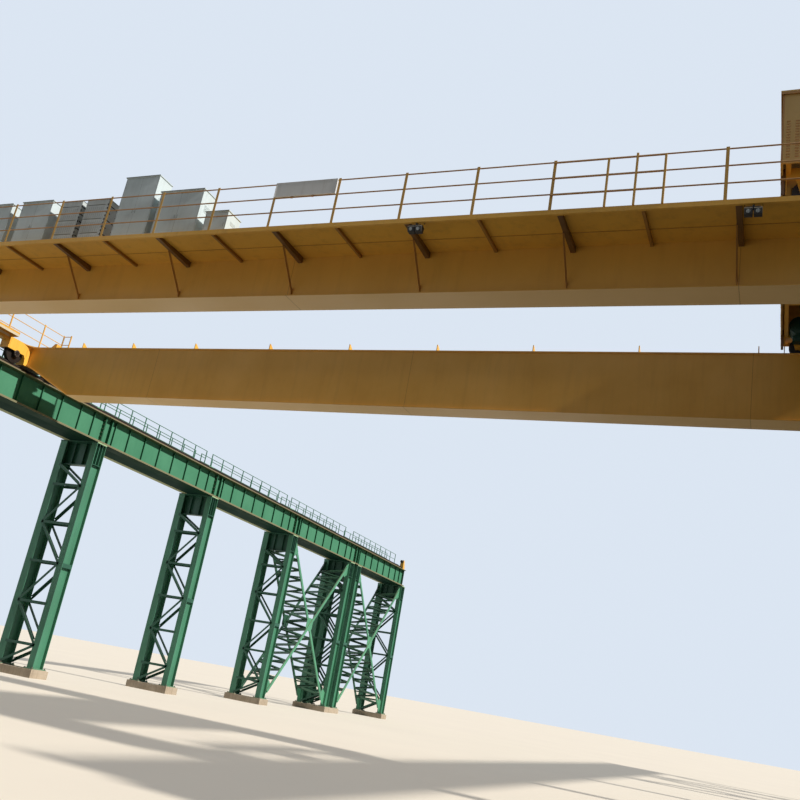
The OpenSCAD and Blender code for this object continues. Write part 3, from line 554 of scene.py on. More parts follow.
# A lighter copy of the column green: painted light, standing in for the sunlit look of the upstands.
painted_sunlit_green = make_green("upstand_green", tone(0.48, 0.80, 0.56), tone(0.40, 0.70, 0.48))
brace_green = make_green("brace_green", tone(0.36, 0.62, 0.47), tone(0.28, 0.52, 0.40), far_plane_shade=0.9)
beam_green = make_beam_green()
soffit_green = make_soffit_green()
concrete = make_concrete()
# The runway rail's near-black base: partly dark oxide and grease, partly painted shade of the rail lying in
# shadow.
runway_rail_steel = make_rail_steel("runway_rail_steel", tone(0.10, 0.07, 0.06), tone(0.55, 0.52, 0.50),
                                    RAIL_TOP * SCALE)
crab_rail_steel = make_rail_steel("trolley_rail_steel", tone(0.20, 0.14, 0.11), tone(0.55, 0.53, 0.50),
                                  (GIRDER_TOP + 100) * SCALE)
wheel_iron = make_iron("wheel_iron", tone(0.12, 0.11, 0.11), tone(0.20, 0.16, 0.13))
hub_brown = make_iron("hub_brown", tone(0.20, 0.14, 0.10), tone(0.14, 0.10, 0.08), 0.3, 0.2)
hook_iron = make_iron("hook_iron", tone(0.22, 0.21, 0.21), tone(0.30, 0.25, 0.21))
bolt_steel = make_iron("bolt_steel", tone(0.52, 0.50, 0.46), tone(0.40, 0.35, 0.30), 0.2, 0.8)
drive_green = make_green("drive_green", tone(0.14, 0.32, 0.27), tone(0.10, 0.24, 0.21), 0.2, 0.4)
cabinet_grey = make_sheet_grey("cabinet_grey", tone(0.82, 0.87, 0.88), tone(0.76, 0.81, 0.82), 0.12)
roof_grey = make_sheet_grey("cabinet_roof_grey", tone(0.52, 0.54, 0.54), tone(0.44, 0.47, 0.47), 0.35)
bank_grey = make_sheet_grey("resistor_grey", tone(0.80, 0.83, 0.83), tone(0.72, 0.75, 0.75), 0.2)
slot_black = make_sheet_grey("slot_black", tone(0.08, 0.08, 0.08), tone(0.12, 0.12, 0.11), 0.2)
lamp_black = make_sheet_grey("lamp_black", tone(0.13, 0.13, 0.14), tone(0.19, 0.19, 0.19), 0.2)
rubber = make_rubber()
rope_wire = make_rope()
board_white = make_board()
lamp_lens = make_lens()

NODE_FINISH = {
    concrete: ["plinths"],
    leg_green: ["column_legs"],
    head_green: ["column_heads", "leg_stiffeners"],
    lace_green: ["left_lacing", "right_lacing", "brace_battens"],
    brace_green: ["bay_braces", "brace_gussets"],
    beam_green: ["runway_beams"],
    soffit_green: ["walkway_beams"],
    runway_deck: ["walkway_decks"],
    fence_green: ["inner_railings", "outer_railings"],
    painted_sunlit_green: ["column_upstands"],
    runway_rail_steel: ["runway_rails"],
    crab_rail_steel: ["trolley_rails"],
    girder_paint: ["near_girder", "far_girder"],
    carriage_paint: ["end_carriages"],
    yellow_paint: ["end_stops", "trolley_stops", "cable_brackets", "trolley_frame",
                   "trolley_brackets", "hook_block", "near_railing", "far_railing", "end_railings"],
    house_paint: ["machine_house"],
    pale_yellow: ["end_platforms"],
    rail_brown: ["gate_rails"],
    walk_deck: ["near_walkway", "far_walkway"],
    wheel_iron: ["bridge_wheels", "trolley_wheels", "wheel_housings"],
    hook_iron: ["hook"],
    drive_green: ["travel_drives", "trolley_drives", "hoist_drum"],
    cabinet_grey: ["control_cabinets"],
    bank_grey: ["resistor_boxes"],
    lamp_black: ["floodlights"],
    rubber: ["end_buffers"],
    rope_wire: ["hoist_ropes"],
    board_white: ["sign_board"],
}
for finish, names in NODE_FINISH.items():
    for name in names:
        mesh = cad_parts[name].data
        mesh.materials.clear()
        mesh.materials.append(finish)


# Steelwork made in mesh code


def shade(mesh, crease):
    """Turns the faces outward and shades them round, apart from edges sharper than crease degrees."""
    work = bmesh.new()
    work.from_mesh(mesh)
    bmesh.ops.recalc_face_normals(work, faces=work.faces)
    for face in work.faces:
        face.smooth = True
    for edge in work.edges:
        if len(edge.link_faces) == 2:
            edge.smooth = edge.calc_face_angle(0.0) < math.radians(crease)
    work.to_mesh(mesh)
    work.free()


def settle(name, mesh, body, replaces=(), bevel=0.0):
    """Puts a mesh into the scene as a piece of its body and the nodes it replaces."""
    piece = bpy.data.objects.new(name, mesh)
    bpy.context.scene.collection.objects.link(piece)
    if bevel:
        soften = piece.modifiers.new("soften", "BEVEL")
        soften.width = bevel * SCALE
        soften.segments = 2
        soften.limit_method = "ANGLE"
        soften.angle_limit = math.radians(40)
    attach(piece, body)
    if replaces:
        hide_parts(*replaces)


def circle(axis, sides):
    """Vectors of length one, evenly spread round an axis."""
    side = axis.orthogonal().normalized()
    over = axis.cross(side)
    turns = [TURN * i / sides for i in range(sides)]
    return [side * math.cos(turn) + over * math.sin(turn) for turn in turns]


def opposite(point):
    """The same place at the other girder."""
    x, y, z = point
    return x, 2 * BRIDGE_Y - y, z


class Steelwork:
    """Gathers plates, bars and round pieces, in real millimetres, into one mesh."""

    def __init__(self, *materials):
        self.materials = materials
        self.points, self.faces, self.slots = [], [], []
        self.slot = 0

    def use(self, material):
        self.slot = self.materials.index(material)
        return self

    def add(self, points, faces):
        first = len(self.points)
        self.points += [tuple(p) for p in points]
        self.faces += [tuple(first + i for i in face) for face in faces]
        self.slots += [self.slot] * len(faces)

    def loft(self, rings):
        """Skins a row of rings that all have the same number of points, and closes both ends."""
        n = len(rings[0])
        faces = [(k * n + i, k * n + (i + 1) % n, (k + 1) * n + (i + 1) % n, (k + 1) * n + i)
                 for k in range(len(rings) - 1) for i in range(n)]
        faces += [tuple(range(n))[::-1], tuple((len(rings) - 1) * n + i for i in range(n))]
        self.add([p for ring in rings for p in ring], faces)

    def stepped(self, *steps):
        """Skins upright rectangles, each (x0, x1, y0, y1, z), from the lowest to the highest."""
        self.loft([[(x0, y0, z), (x1, y0, z), (x1, y1, z), (x0, y1, z)] for x0, x1, y0, y1, z in steps])

    def plate(self, x0, x1, y0, y1, z0, z1):
        self.stepped((x0, x1, y0, y1, z0), (x0, x1, y0, y1, z1))

    def along_y(self, outline, y0, y1):
        self.loft([[(x, y, z) for x, z in outline] for y in (y0, y1)])

    def along_x(self, outline, x0, x1):
        self.loft([[(x, y, z) for y, z in outline] for x in (x0, x1)])

    def along_z(self, outline, z0, z1):
        self.loft([[(x, y, z) for x, y in outline] for z in (z0, z1)])

    def strut(self, start, end, side, deep, wide, drop=0.0):
        """A rectangular bar from start to end: wide towards side, from drop on, and deep across it."""
        a, b, side = Vector(start), Vector(end), Vector(side).normalized()
        run = (b - a).normalized()
        across = run.cross(side).normalized()
        near, far = drop, drop + wide
        corners = ((deep[0], near), (deep[1], near), (deep[1], far), (deep[0], far))
        self.loft([[p + across * over + side * out for over, out in corners] for p in (a, b)])

    def rod(self, start, end, across, sides=10):
        a, b = Vector(start), Vector(end)
        ring = circle((b - a).normalized(), sides)
        self.loft([[p + r * across / 2 for r in ring] for p in (a, b)])

    def turned(self, centre, axis, outline, sides=24):
        """A turned piece: outline is [along, radius] down the axis; a radius of 0 closes an end."""
        axis = Vector(axis).normalized()
        ring = circle(axis, sides)
        self.loft([[Vector(centre) + axis * along + r * max(radius, 0.01) for r in ring]
                   for along, radius in outline])

    def make(self, name, body, replaces=(), bevel=0.0, far=False):
        """Turns the steelwork into a piece; far makes its mirror image at the far girder."""
        points = [opposite(p) for p in self.points] if far else self.points
        mesh = bpy.data.meshes.new(name)
        mesh.from_pydata([tuple(c * SCALE for c in p) for p in points], [], self.faces)
        for material in self.materials:
            mesh.materials.append(material)
        mesh.polygons.foreach_set("material_index", self.slots)
        shade(mesh, 30)
        settle(name, mesh, body, replaces, bevel)


# Pieces grown with Geometry Nodes


def new_tree(name, inputs):
    tree = bpy.data.node_groups.new(name, "GeometryNodeTree")
    tree.interface.new_socket("Geometry", in_out="INPUT", socket_type="NodeSocketGeometry")
    for key, (kind, default) in inputs.items():
        socket = tree.interface.new_socket(key, in_out="INPUT", socket_type=kind)
        if default is not None:
            socket.default_value = default
    tree.interface.new_socket("Finish", in_out="INPUT", socket_type="NodeSocketMaterial")
    tree.interface.new_socket("Geometry", in_out="OUTPUT", socket_type="NodeSocketGeometry")
    return tree, put(tree, "NodeGroupInput"), put(tree, "NodeGroupOutput")


def close_tree(tree, source, result, geometry, instances=True):
    if instances:
        real = put(tree, "GeometryNodeRealizeInstances")
        join(tree, geometry, real.inputs[0])
        geometry = real.outputs[0]
    cover = put(tree, "GeometryNodeSetMaterial")
    join(tree, geometry, cover.inputs["Geometry"])
    join(tree, source.outputs["Finish"], cover.inputs["Material"])
    join(tree, cover.outputs[0], result.inputs[0])
    return tree


def cylinder(tree, sides, radius, depth):
    node = put(tree, "GeometryNodeMeshCylinder")
    feed(tree, sides, node.inputs["Vertices"])
    feed(tree, radius, node.inputs["Radius"])
    feed(tree, depth, node.inputs["Depth"])
    return node.outputs["Mesh"]


def lifted(tree, geometry, height):
    node = put(tree, "GeometryNodeTransform")
    join(tree, geometry, node.inputs["Geometry"])
    shift = put(tree, "ShaderNodeCombineXYZ")
    feed(tree, height, shift.inputs["Z"])
    join(tree, shift.outputs[0], node.inputs["Translation"])
    return node.outputs[0]


def spread_on_points(tree, source, piece, turn=None):
    """One copy of a piece on each point of the drawn shape."""
    spread = put(tree, "GeometryNodeInstanceOnPoints")
    join(tree, source.outputs["Geometry"], spread.inputs["Points"])
    join(tree, piece, spread.inputs["Instance"])
    if turn:
        join(tree, turn, spread.inputs["Rotation"])
    return spread.outputs[0]


def sweep(tree, curve, radius, sides):
    """A round tube along a curve; gives its node."""
    profile = put(tree, "GeometryNodeCurvePrimitiveCircle", mode="RADIUS")
    feed(tree, sides, profile.inputs["Resolution"])
    feed(tree, radius, profile.inputs["Radius"])
    tube = put(tree, "GeometryNodeCurveToMesh")
    join(tree, curve, tube.inputs["Curve"])
    join(tree, profile.outputs["Curve"], tube.inputs["Profile Curve"])
    return tube


def facing_turn(tree):
    """The turn that points each copy's own Z along the facing of its point."""
    facing = put(tree, "GeometryNodeInputNamedAttribute", data_type="FLOAT_VECTOR")
    facing.inputs["Name"].default_value = "facing"
    turn = put(tree, "FunctionNodeAlignRotationToVector", axis="Z")
    join(tree, facing.outputs["Attribute"], turn.inputs["Vector"])
    return turn.outputs[0]


def make_bolt_tree():
    """A washer and a six-sided head on each point, turned to its facing."""
    tree, source, result = new_tree("bolts_on_points", {
        "Head": ("NodeSocketFloat", 0.01), "Height": ("NodeSocketFloat", 0.006),
        "Washer": ("NodeSocketFloat", 0.014)})
    half = sums(tree, "MULTIPLY", source.outputs["Height"], 0.5)
    head = lifted(tree, cylinder(tree, 6, source.outputs["Head"], source.outputs["Height"]), half)
    thin = sums(tree, "MULTIPLY", source.outputs["Height"], 0.25)
    washer = cylinder(tree, 12, source.outputs["Washer"], thin)
    both = put(tree, "GeometryNodeJoinGeometry")
    join(tree, head, both.inputs[0])
    join(tree, washer, both.inputs[0])
    spread = spread_on_points(tree, source, both.outputs[0], facing_turn(tree))
    return close_tree(tree, source, result, spread)


def make_tube_tree():
    """A round tube along every edge of the drawn lines."""
    tree, source, result = new_tree("tubes_on_lines", {
        "Radius": ("NodeSocketFloat", 0.01), "Sides": ("NodeSocketInt", 8)})
    curve = put(tree, "GeometryNodeMeshToCurve")
    join(tree, source.outputs["Geometry"], curve.inputs[0])
    tube = sweep(tree, curve.outputs[0], source.outputs["Radius"], source.outputs["Sides"])
    tube.inputs["Fill Caps"].default_value = True
    return close_tree(tree, source, result, tube.outputs[0], instances=False)


def make_block_tree():
    """A small block on each point, such as a rail clip or a slot cover."""
    tree, source, result = new_tree("blocks_on_points", {"Size": ("NodeSocketVector", (0.01, 0.01, 0.01))})
    cube = put(tree, "GeometryNodeMeshCube")
    join(tree, source.outputs["Size"], cube.inputs["Size"])
    return close_tree(tree, source, result, spread_on_points(tree, source, cube.outputs["Mesh"]))


def make_rope_tree():
    """A rope wound along +Y: turns, radius and pitch give the coil, and Rope its half thickness."""
    tree, source, result = new_tree("rope_on_drum", {
        "Turns": ("NodeSocketFloat", 20.0), "Radius": ("NodeSocketFloat", 0.1),
        "Length": ("NodeSocketFloat", 0.5), "Rope": ("NodeSocketFloat", 0.006)})
    coil = put(tree, "GeometryNodeCurveSpiral")
    coil.inputs["Resolution"].default_value = 20
    join(tree, source.outputs["Turns"], coil.inputs["Rotations"])
    join(tree, source.outputs["Radius"], coil.inputs["Start Radius"])
    join(tree, source.outputs["Radius"], coil.inputs["End Radius"])
    join(tree, source.outputs["Length"], coil.inputs["Height"])
    tube = sweep(tree, coil.outputs[0], source.outputs["Rope"], 5)
    spread = spread_on_points(tree, source, tube.outputs[0], facing_turn(tree))
    return close_tree(tree, source, result, spread)


bolt_tree = make_bolt_tree()
tube_tree = make_tube_tree()
block_tree = make_block_tree()
rope_tree = make_rope_tree()


def grow(name, tree, points, body, slot, finish, lines=(), facing=None, replaces=(), smooth=True, **sizes):
    """Runs a tree on points or lines given in real millimetres and keeps its result as a plain piece."""
    seed = bpy.data.meshes.new(name + "_seed")
    seed.from_pydata([tuple(c * SCALE for c in p) for p in points], list(lines), [])
    if facing is not None:
        layer = seed.attributes.new("facing", "FLOAT_VECTOR", "POINT")
        layer.data.foreach_set("vector", [c for f in facing for c in f])
    holder = bpy.data.objects.new(name + "_seed", seed)
    bpy.context.scene.collection.objects.link(holder)
    modifier = holder.modifiers.new("grow", "NODES")
    modifier.node_group = tree
    sockets = {item.name: item.identifier for item in tree.interface.items_tree
               if item.item_type == "SOCKET" and item.in_out == "INPUT"}
    modifier[sockets["Finish"]] = finish
    for key, value in sizes.items():
        modifier[sockets[key]] = value
    bpy.context.view_layer.update()
    ready = holder.evaluated_get(bpy.context.evaluated_depsgraph_get())
    mesh = bpy.data.meshes.new_from_object(ready)
    bpy.data.objects.remove(holder)
    if "facing" in mesh.attributes:
        mesh.attributes.remove(mesh.attributes["facing"])
    mesh.name = name
    if smooth:
        shade(mesh, 50)
    settle(name, mesh, body, replaces)


def bolts(name, places, body, slot, finish, across):
    """Washers and heads of one size; places is a list of (point, facing)."""
    grow(name, bolt_tree, [p for p, f in places], body, slot, finish, facing=[f for p, f in places],
         Head=across * 0.55 * SCALE, Height=across * 0.6 * SCALE, Washer=across * 0.85 * SCALE)


def tubes(name, runs, body, slot, finish, across, sides=8, replaces=()):
    """Round tubes of one size; runs is a list of point lists, each a drawn line."""
    points, lines = [], []
    for run in runs:
        first = len(points)
        points += run
        lines += [(first + i, first + i + 1) for i in range(len(run) - 1)]
    grow(name, tube_tree, points, body, slot, finish, lines=lines, replaces=replaces,
         Radius=across / 2 * SCALE, Sides=sides)


# Runway


def lacing(side, node):
    """Angle bars on both faces of every column of one side, in place of the flat ones."""
    work = Steelwork(lace_green)
    low, top = PLINTH + 110, LEG_TOP - 990
    first, rise, cross_bars = 1180, 1580, 5
    levels = [low] + [first + rise * i for i in range(cross_bars)] + [top]
    x_in, x_out = IN_X + 60, OUT_X - 80
    bars = [((x_in, z), (x_out, z)) for z in levels[1:-1]]
    for i, (foot, head) in enumerate(zip(levels, levels[1:])):
        x_foot, x_head = (x_in + 20, x_out - 20) if i % 2 else (x_out - 20, x_in + 20)
        bars.append(((x_foot, foot), (x_head, head)))
    for y in COLUMNS:
        for face in (-1, 1):
            plane = y + face * LEG_D / 2
            for a, b in bars:
                start, end = Vector((side * a[0], plane, a[1])), Vector((side * b[0], plane, b[1]))
                work.strut(start, end, (0, face, 0), (-50, 50), 12)
                run = (end - start).normalized()
                trim = 190 if abs(run.z) < 0.1 else 240
                over = run.cross(Vector((0, face, 0))).z < 0
                deep = (-50, -40) if over else (40, 50)
                work.strut(start + run * trim, end - run * trim, (0, face, 0), deep, 90, -90)
    work.make(node + "_angles", "runway", (node,))


lacing(1, "right_lacing")
lacing(-1, "left_lacing")


def brace_span(i):
    """Where the clear space between the columns of bay i starts and ends."""
    return (LINES[i] + LEG_D / 2 + (TWIN / 2 if i == TWIN_LINE else 0),
            LINES[i + 1] - LEG_D / 2 - (TWIN / 2 if i == TWIN_LINE - 1 else 0))


def brace_lacing():
    """Dense zigzag angles that tie the inner plane of each brace to the outer one."""
    work = Steelwork(lace_green)
    foot, head = PLINTH + 420, LEG_TOP - 420
    steps = 30
    for side in (-1, 1):
        for i in BRACED:
            low, high = brace_span(i)
            for start, end, shift in ((low + 240, high - 240, -45), (high - 240, low + 240, 45)):
                run = Vector((0, end - start, head - foot)).normalized()
                normal = Vector((0, -run.z, run.y))
                for layer in (-62, 62):
                    for k in range(steps):
                        planes = (IN_X, OUT_X) if k % 2 == 0 else (OUT_X, IN_X)
                        ends = []
                        for x, step in zip(planes, (k, k + 1)):
                            part = 0.03 + 0.94 * step / steps
                            y, z = start + part * (end - start), foot + part * (head - foot)
                            ends.append(Vector((side * (x + shift), y, z)) + normal * layer)
                        work.strut(*ends, normal, (-34, 34), 8, -4)
                        work.strut(*ends, normal, (26, 34), 46, 4 if layer < 0 else -50)
    work.make("brace_zigzag", "runway")


brace_lacing()


def runway_fences():
    """Round tube railings in place of the plain ones, with square posts and a toe board."""
    for name, x in (("inner_railings", RAIL_X + 670), ("outer_railings", RAIL_X + 1370)):
        posts = Steelwork(fence_green)
        runs = []
        panels = 8
        for side in (-1, 1):
            for i in range(BAYS):
                a = LINES[i] + 250 + (350 if i == TWIN_LINE else 0)
                b = LINES[i + 1] - 250 - (350 if i == TWIN_LINE - 1 else 0)
                for k in range(panels + 1):
                    y = a + k * (b - a - 50) / panels
                    posts.plate(side * x - 18, side * x + 18, y + 7, y + 43, BEAM_TOP, BEAM_TOP + RUN_FENCE_H)
                posts.plate(side * x - 5, side * x + 5, a, b, BEAM_TOP, BEAM_TOP + 100)
                for level in (RUN_FENCE_H, 702, 372):
                    runs.append([(side * x, a, BEAM_TOP + level), (side * x, b, BEAM_TOP + level)])
        posts.make(name + "_posts", "runway", (name,))
        tubes(name + "_tubes", runs, "runway", "runway_green", fence_green, 34)


runway_fences()


def leg_feet():
    """Base plates and grout under each leg, with their anchor bolts."""
    work = Steelwork(leg_green, concrete)
    grout, top = PLINTH + 22, PLINTH + 52
    anchors = []
    for side in (-1, 1):
        for y in COLUMNS:
            for x, w in ((IN_X, IN_W), (OUT_X, OUT_W)):
                cx = side * x
                half, deep = w / 2 + 70, LEG_D / 2 + 90
                wide, far = half + 25, deep + 25
                work.use(concrete).plate(cx - wide, cx + wide, y - far, y + far, PLINTH - 5, grout)
                work.use(leg_green).plate(cx - half, cx + half, y - deep, y + deep, grout, top)
                for sx in (-1, 1):
                    for sy in (-1, 1):
                        anchors.append(((cx + sx * (half - 35), y + sy * (deep - 40), top), (0, 0, 1)))
    work.make("leg_base_plates", "runway")
    bolts("anchor_bolts", anchors, "runway", "rail_steel", bolt_steel, 60)


leg_feet()


def runway_girders():
    """Welded plate girders with narrow web ribs that stop short of the lower flange."""
    work = Steelwork(beam_green)
    low, top = BEAM_BOT + FLANGE_T, BEAM_TOP - FLANGE_T
    half = FLANGE_W / 2
    for side in (-1, 1):
        x = side * RAIL_X
        for line in LINES[:-1]:
            a, b = line + 10, line + BAY - 10
            work.plate(x - WEB_T / 2, x + WEB_T / 2, a, b, low, top)
            work.plate(x - half, x + half, a, b, top, BEAM_TOP)
            work.plate(x - half, x + half, a, b, BEAM_BOT, low)
            for edge in (x - half, x + half - 20):
                work.plate(edge, edge + 20, a, b, low + 0.1, BEAM_BOT + LIP)
            for face in (-1, 1):
                near = x + face * (WEB_T / 2 + 0.2)
                for offset in (0,) + RIBS + (BAY - 40,):
                    end = offset in (0, 380, 400, BAY - 40)
                    deep = 150 if end else 90
                    foot = low + 1 if end else BEAM_BOT + 150
                    y = a + offset
                    work.plate(*sorted((near, near + face * deep)), y, y + 18, foot, top - 0.1)
    work.make("runway_girders", "runway", ("runway_beams",))


runway_girders()


def rail_clips():
    """Clip plates with a bolt, in pairs along both runway rails and the trolley rails."""
    clips, heads = [], []
    runway_pitch, trolley_pitch = 700, 750
    y = RUN_Y0 + 500
    while y < -RUN_Y0 - 400:
        for side in (-1, 1):
            for edge in (-1, 1):
                x = side * RAIL_X + edge * 108
                clips.append((x, y, BEAM_TOP + 14))
                heads.append(((x + edge * 12, y, BEAM_TOP + 26), (0, 0, 1)))
        y += runway_pitch
    grow("runway_rail_clips", block_tree, clips, "runway", "rail_steel", bolt_steel, smooth=False,
         Size=(90 * SCALE, 70 * SCALE, 28 * SCALE))
    bolts("runway_clip_bolts", heads, "runway", "rail_steel", bolt_steel, 36)
    clips, heads = [], []
    for y in (NEAR_Y, FAR_Y):
        x = -CRAB_RAIL_X + 300
        while x < CRAB_RAIL_X - 200:
            for edge in (-1, 1):
                clips.append((x, y + edge * 78, GIRDER_TOP + 10))
                heads.append(((x, y + edge * 88, GIRDER_TOP + 20), (0, 0, 1)))
            x += trolley_pitch
    grow("trolley_rail_clips", block_tree, clips, "bridge", "rail_steel", bolt_steel, smooth=False,
         Size=(55 * SCALE, 62 * SCALE, 20 * SCALE))
    bolts("trolley_clip_bolts", heads, "bridge", "rail_steel", bolt_steel, 30)


rail_clips()


def girder_bolts():
    """Bolts through the meeting end ribs of the runway girders, and down into the column caps."""
    places = []
    for side in (-1, 1):
        for i, line in enumerate(LINES):
            for s in (-1, 1):
                if (i == 0 and s < 0) or (i == BAYS and s > 0):
                    continue
                for edge in (-1, 1):
                    rib_x, flange_x = side * RAIL_X + edge * 90, side * RAIL_X + edge * 250
                    for k in range(6):
                        places.append(((rib_x, line + s * 28, BEAM_BOT + 150 + k * 170), (0, s, 0)))
                    places.append(((flange_x, line + s * 150, BEAM_BOT + FLANGE_T), (0, 0, 1)))
    bolts("girder_joint_bolts", places, "runway", "runway_green", bolt_steel, 40)


girder_bolts()


# Bridge


def bridge_walkway():
    """Floor plate on channels and knee braces, with its edge channel, in place of the plain walkway."""
    work = Steelwork(walk_deck, yellow_paint, seam_brown, bar_brown, minor_brown, brace_brown)
    work.use(walk_deck).plate(-WALK_X, WALK_X, WALK_Y1 + 6, WALK_Y0, WALK_TOP - 8, WALK_TOP)
    work.use(yellow_paint)
    work.plate(-WALK_X, WALK_X, WALK_Y1, WALK_Y1 + 8, WALK_TOP - 100, WALK_TOP)
    work.plate(-WALK_X, WALK_X, WALK_Y1 + 8, WALK_Y1 + 60, WALK_TOP - 100, WALK_TOP - 92)
    work.plate(-WALK_X, WALK_X, WALK_Y1 + 8, WALK_Y0, WALK_TOP - 20, WALK_TOP - 8.5)
    seam = WALK_Y1 + 820
    work.use(seam_brown).plate(-WALK_X, WALK_X, seam, seam + 16, WALK_TOP - 27, WALK_TOP - 20)
    for k in range(-9, 10):
        main = k % 2 == 0
        x, w = k * BAR_GAP + (MAIN_BAR_X if main else BAR_X), 50 if main else 28
        y0, y1, top = WALK_Y1 + 60.5, WALK_Y0 - 2, WALK_TOP - 20.5
        z0, z1 = WALK_TOP - 90, WALK_TOP - (163 if main else 90)
        work.use(bar_brown if main else minor_brown)
        work.along_x([(y0, z0), (y0, z0 + 8), (y1, z1 + 8), (y1, z1)], x - w, x + w)
        for a in (x - w, x + w - 8):
            work.along_x([(y0, z0 + 8), (y0, top), (y1, top), (y1, z1 + 8)], a, a + 8)
        if main:
            head = (x - 54, WALK_Y0 - 745, WALK_TOP - 112)
            foot = (x - 54, WALK_Y0 - 4, GIRDER_BOT + 100)
            work.use(brace_brown).strut(head, foot, (1, 0, 0), (-22, 22), 6, -5)
            work.strut(head, foot, (1, 0, 0), (-22, -16), 24, 1)
            work.along_x([(WALK_Y0 - 0.5, GIRDER_BOT + 200), (WALK_Y0 - 70, GIRDER_BOT + 180),
                          (WALK_Y0 - 50, GIRDER_BOT + 50), (WALK_Y0 - 0.5, GIRDER_BOT + 40)], x - 48, x - 41)
    for x in (-WALK_X, WALK_X - 8):
        work.use(yellow_paint).plate(x, x + 8, WALK_Y1 + 8, WALK_Y0, WALK_TOP - 100, WALK_TOP - 20.5)
    work.make("walkway_plates", "bridge", ("near_walkway",))
    work.make("far_walkway_plates", "bridge", ("far_walkway",), far=True)


bridge_walkway()


def bridge_fences():
    """Handrails of the bridge: angle posts and round rails."""
    posts = Steelwork(shaded_post_ochre)
    x1 = WALK_X - 10
    post_x = [k * POST_GAP - 15 for k in range(-9, 10) if k != ACCESS + 1] + [-x1, x1 - 60]
    for x in post_x:
        posts.along_z([(x, FENCE_Y + 4), (x + 60, FENCE_Y + 4), (x + 60, FENCE_Y + 9), (x + 6, FENCE_Y + 9),
                       (x + 6, FENCE_Y + 38), (x, FENCE_Y + 38)], WALK_TOP, WALK_TOP + RAIL_H - 4)
    for x in (-x1, x1 - 40):
        posts.plate(x, x + 40, FENCE_Y1 - 48, FENCE_Y1 - 8, WALK_TOP, WALK_TOP + RAIL_H - 5)
    posts.make("walkway_posts", "bridge", ("near_railing",))
    posts.make("far_walkway_posts", "bridge", ("far_railing",), far=True)
    runs = []
    for level in LEVELS:
        z = WALK_TOP + level
        runs.append([(-x1 + 20, FENCE_Y1 - 22, z), (-x1 + 20, FENCE_Y + 20, z), (x1 - 20, FENCE_Y + 20, z),
                     (x1 - 20, FENCE_Y1 - 22, z)])
    tubes("walkway_rails", runs, "bridge", "crane_yellow", rail_brown, 32, 10)
    far_runs = [[opposite(p) for p in run] for run in runs]
    tubes("far_walkway_rails", far_runs, "bridge", "crane_yellow", rail_brown, 32, 10)
    ends = Steelwork(yellow_paint)
    runs = []
    y0, y1 = NEAR_Y - 1400 + 60, FAR_Y + 1400 - 60
    step = (y1 - y0 - 50 - 2080) / 5
    for side in (-1, 1):
        x = side * (CAR_X1 - 25)
        back = side * (CAR_X1 - 25 - 370)
        for y in [y0, y1 - 50] + [y0 + 1040 + k * step for k in range(6)]:
            foot = PLAT_TOP if NEAR_Y + 1400 < y < FAR_Y - 1400 else GIRDER_TOP
            ends.plate(x - 18, x + 18, y + 5, y + 45, foot, PLAT_TOP + RAIL_H)
        for y in (y0, y1 - 40):
            ends.plate(back - 18, back + 18, y, y + 40, GIRDER_TOP, PLAT_TOP + RAIL_H)
        for level in LEVELS:
            z = PLAT_TOP + level
            runs.append([(back, y0 + 20, z), (x, y0 + 20, z), (x, y1 - 20, z), (back, y1 - 20, z)])
    ends.make("platform_posts", "bridge", ("end_railings",))
    tubes("platform_rails", runs, "bridge", "crane_yellow", yellow_paint, 30, 10)


bridge_fences()


def access_rails():
    """Doubled rails over the access place, round, on three flat uprights."""
    x0 = ACCESS * POST_GAP
    x1 = x0 + 2095
    runs = []
    for level in LEVELS:
        z = WALK_TOP + level - 40
        runs.append([(x0, FENCE_Y - 20, z), (x1, FENCE_Y - 20, z)])
    tubes("access_rails", runs, "bridge", "crane_yellow", rail_brown, 30, 10, ("gate_rails",))
    work = Steelwork(shaded_post_ochre)
    for x, top in ((x1 - 1072, 70), (x1 - 547, 4), (x1 - 36, 70)):
        work.plate(x, x + 40, FENCE_Y - 36, FENCE_Y - 1, WALK_TOP, WALK_TOP + RAIL_H - top)
    work.make("access_posts", "bridge")


access_rails()


# Left end, right end and height of each cabinet, and how far its front stands back
CABINETS = [(-9600, -8540, 1450, 56), (-8150, -7100, 1450, 42), (-4810, -3780, 1910, 14),
            (-3580, -2310, 1410, 7), (-2070, -1440, 750, 0)]
CAB_Y0 = WALK_Y1 + 410


